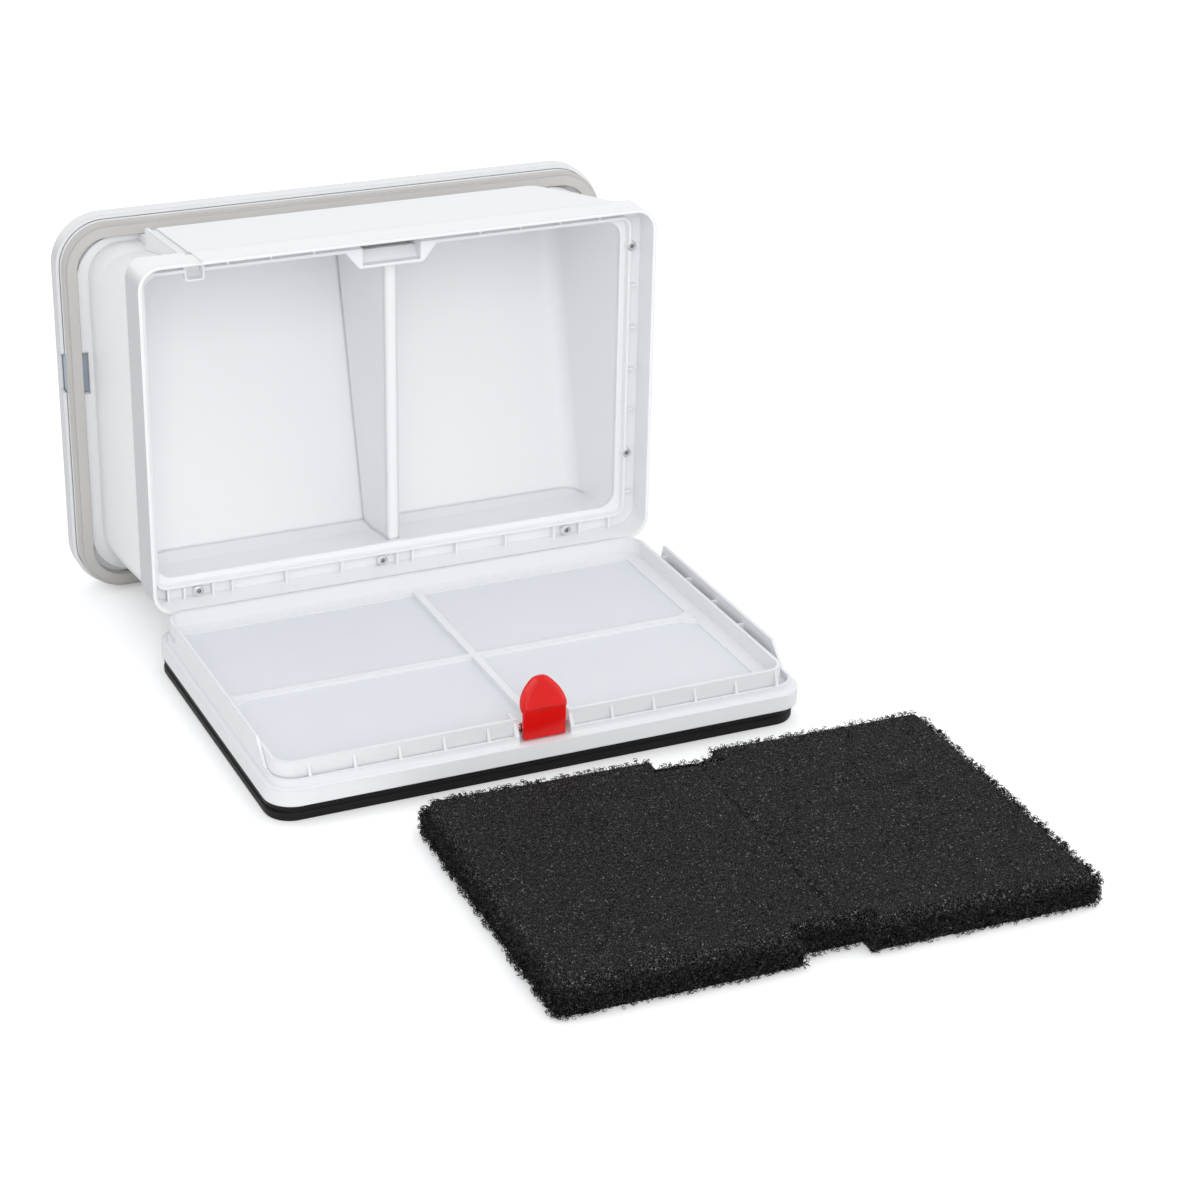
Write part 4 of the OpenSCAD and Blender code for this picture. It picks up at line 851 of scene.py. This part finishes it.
def makeCloth(node, name, s):
    # the node's upper face, cut into small cells and let down a little between the ribs that hold its edges
    low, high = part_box(node)
    mesh = bpy.data.meshes.new(name)
    sheet = bmesh.new()
    sheet.from_mesh(nodes[node].data)
    others = [f for f in sheet.faces if f.normal.z < 0.9]
    bmesh.ops.delete(sheet, geom=others, context="FACES")
    for axis in (0, 1):
        count = round((high[axis] - low[axis]) / s["cell"])
        for k in range(1, count):
            at, normal = Vector(low), Vector((0, 0, 0))
            at[axis] += (high[axis] - low[axis]) * k / count
            normal[axis] = 1
            bmesh.ops.bisect_plane(sheet, geom=sheet.verts[:] + sheet.edges[:] + sheet.faces[:],
                                   plane_co=at, plane_no=normal)
    flatArea = sum(f.calc_area() for f in sheet.faces)
    for v in sheet.verts:
        across = (v.co.x - low[0]) * (high[0] - v.co.x) * 4 / (high[0] - low[0]) ** 2
        along = (v.co.y - low[1]) * (high[1] - v.co.y) * 4 / (high[1] - low[1]) ** 2
        free = max(0, across * along)
        ripple = noise.noise(v.co * s["rippleScale"]) * min(1, free * 3)
        v.co.z -= s["sag"] * free + s["ripple"] * ripple
    sheet.to_mesh(mesh)
    sheet.free()
    cloth = bpy.data.objects.new(name, mesh)
    bpy.context.scene.collection.objects.link(cloth)
    applyModifier(cloth, "SOLIDIFY", thickness=s["thick"], offset=-1)
    finishPiece(cloth, "filterCloth", "lid", node)


clothNames = {
    "cloth_back_left": "clothBackLeft", "cloth_back_right": "clothBackRight",
    "cloth_front_left": "clothFrontLeft", "cloth_front_right": "clothFrontRight",
}
for nodeName, pieceName in clothNames.items():
    makeCloth(nodeName, pieceName, clothShape)


# foam pad
padShape = {
    "width": 0.240, "depth": 0.154, "height": 0.015, "turn": math.radians(-2), "corner": 0.006,
    "notchWidth": 0.028, "notchDepth": 0.007, "cell": 0.00125,
    "flangeWidth": 0.0032, "flangeHeight": 0.0105, "creaseX": 0.004, "creaseDepth": 0.0012,
    "stepWidth": 0.0012, "rimWidth": 0.0018, "rimDrop": 0.0016, "topGap": 0.0005, "ringReach": 0.0014,
    "inset": 0.0012, "ringSize": 0.0008, "strut": 0.00013, "sideRings": 14500, "topRings": 1200,
    "ragged": 0.0038, "seed": 7,
}


def insetOf(x, y, s):
    # distance in from the pad's outline, negative outside it
    qx = abs(x) - s["width"] / 2 + s["corner"]
    qy = abs(y) - s["depth"] / 2 + s["corner"]
    outside = math.hypot(max(qx, 0), max(qy, 0)) + min(max(qx, qy), 0) - s["corner"]
    nx = abs(x) - s["notchWidth"] / 2
    ny = s["depth"] / 2 - s["notchDepth"] - abs(y)
    notch = math.hypot(max(nx, 0), max(ny, 0)) + min(max(nx, ny), 0)
    return min(-outside, notch)


def padHeight(x, y, inset, s):
    # the back edge keeps its full height, the others step down to a thin flange
    atBack = y > s["depth"] / 2 - s["flangeWidth"] * 3
    fromEdge = max(inset, s["flangeWidth"] * 2) if atBack else inset
    fromEdge = min(fromEdge, s["width"] / 2 - abs(x))
    step = min(max((fromEdge - s["flangeWidth"]) / s["stepWidth"], 0), 1)
    step = step * step * (3 - 2 * step)
    rim = max(1 - inset / s["rimWidth"], 0) ** 2 * s["rimDrop"]
    crease = s["creaseDepth"] * math.exp(-((x - s["creaseX"]) / 0.0016) ** 2)
    rough = 0.00035 * noise.noise((x * 700, y * 700, 3.0)) + 0.00025 * noise.noise((x * 60, y * 60, 9.0))
    rise = s["height"] - s["flangeHeight"] - s["topGap"]
    return s["flangeHeight"] + rise * step - rim - crease + rough


def makePadCore(s):
    columns, rows = round(s["width"] / s["cell"]), round(s["depth"] / s["cell"])
    bpy.ops.object.select_all(action="DESELECT")
    bpy.ops.mesh.primitive_grid_add(x_subdivisions=columns, y_subdivisions=rows, size=1)
    core = bpy.context.object
    core.name = "foamPad"
    bm = bmesh.new()
    bm.from_mesh(core.data)
    gone = []
    for v in bm.verts:
        x, y = v.co.x * s["width"], v.co.y * s["depth"]
        inset = insetOf(x, y, s)
        if inset < s["inset"] - 0.3 * s["cell"]:
            gone.append(v)
        v.co = (x, y, padHeight(x, y, max(inset, 0), s))
    bmesh.ops.delete(bm, geom=gone, context="VERTS")
    rim = [e for e in bm.edges if e.is_boundary]
    foot = bmesh.ops.extrude_edge_only(bm, edges=rim)["geom"]
    for v in foot:
        if isinstance(v, bmesh.types.BMVert):
            v.co.z = 0.0004 + 0.0003 * abs(noise.noise((v.co.x * 500, v.co.y * 500, 0.0)))
    bmesh.ops.holes_fill(bm, edges=[e for e in bm.edges if e.is_boundary])
    bmesh.ops.recalc_face_normals(bm, faces=bm.faces)
    bm.to_mesh(core.data)
    bm.free()
    return core


def makeCellRing(s):
    # one open cell of the foam, copied all along the pad's edges
    bpy.ops.object.select_all(action="DESELECT")
    bpy.ops.mesh.primitive_torus_add(major_segments=5, minor_segments=3, major_radius=s["ringSize"],
                                     minor_radius=s["strut"])
    ring = bpy.context.object
    verts = [v.co.copy() for v in ring.data.vertices]
    faces = [list(p.vertices) for p in ring.data.polygons]
    bpy.data.objects.remove(ring)
    return verts, faces


def ringPlaces(s):
    dice = random.Random(s["seed"])
    halfX, halfY = s["width"] / 2, s["depth"] / 2
    while True:
        out = dice.random() ** 1.4 * s["ragged"] - s["inset"]
        if dice.random() < halfX / (halfX + halfY):
            x, side = dice.uniform(-halfX, halfX), dice.choice((-1, 1))
            edge = halfY - (s["notchDepth"] if abs(x) < s["notchWidth"] / 2 else 0)
            y = side * (edge + out)
            full = side > 0 and abs(x) < halfX - s["flangeWidth"] * 1.4
            top = s["height"] if full else s["flangeHeight"] + s["ringReach"]
        else:
            x, y = dice.choice((-1, 1)) * (halfX + out), dice.uniform(-halfY, halfY)
            top = s["flangeHeight"] + s["ringReach"]
        clump = 0.5 + 0.5 * noise.noise((x * 130, y * 130, 5.0))
        if out + s["inset"] > s["ragged"] * (0.4 + 0.7 * clump):
            continue
        if abs(x) > halfX - s["corner"] * 0.6 and abs(y) > halfY - s["corner"] * 0.6:
            x, y = x * 0.993, y * 0.99
        yield Vector((x, y, dice.uniform(0.001, top)))


def makeFoamPad(s):
    core = makePadCore(s)
    ringVerts, ringFaces = makeCellRing(s)
    verts, faces = [], []
    places = ringPlaces(s)
    dice = random.Random(s["seed"] + 1)
    for i in range(s["sideRings"] + s["topRings"]):
        if i < s["sideRings"]:
            at = next(places)
        else:
            x, y = dice.uniform(-0.5, 0.5) * s["width"], dice.uniform(-0.5, 0.5) * s["depth"]
            inset = insetOf(x, y, s)
            if inset < 0.001:
                continue
            at = Vector((x, y, padHeight(x, y, inset, s) + 0.0001))
        spin = Matrix.Rotation(dice.uniform(0, 6.28), 3, "Z")
        tilt = Matrix.Rotation(dice.uniform(0, 3.14), 3, "X")
        turn = spin @ tilt
        grow = dice.uniform(0.75, 1.25)
        first = len(verts)
        verts.extend([at + turn @ (v * grow) for v in ringVerts])
        faces.extend([[first + k for k in f] for f in ringFaces])
    mesh = bpy.data.meshes.new("padCells")
    mesh.from_pydata(verts, [], faces)
    cells = bpy.data.objects.new("padCells", mesh)
    bpy.context.scene.collection.objects.link(cells)
    bpy.ops.object.select_all(action="DESELECT")
    cells.select_set(True)
    core.select_set(True)
    bpy.context.view_layer.objects.active = core
    bpy.ops.object.join()
    low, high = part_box("foam_pad")
    middle = Matrix.Translation(((low[0] + high[0]) / 2, (low[1] + high[1]) / 2, 0))
    core.data.transform(middle @ Matrix.Rotation(s["turn"], 4, "Z"))
    for v in core.data.vertices:
        v.co.z = max(v.co.z, 0)
    core.data.materials.clear()
    core.data.materials.append(made["padFoam"])
    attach(core, "foam")
    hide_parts("foam_pad")
    return core


foamPad = makeFoamPad(padShape)
print("foam pad made:", len(foamPad.data.polygons), "faces")
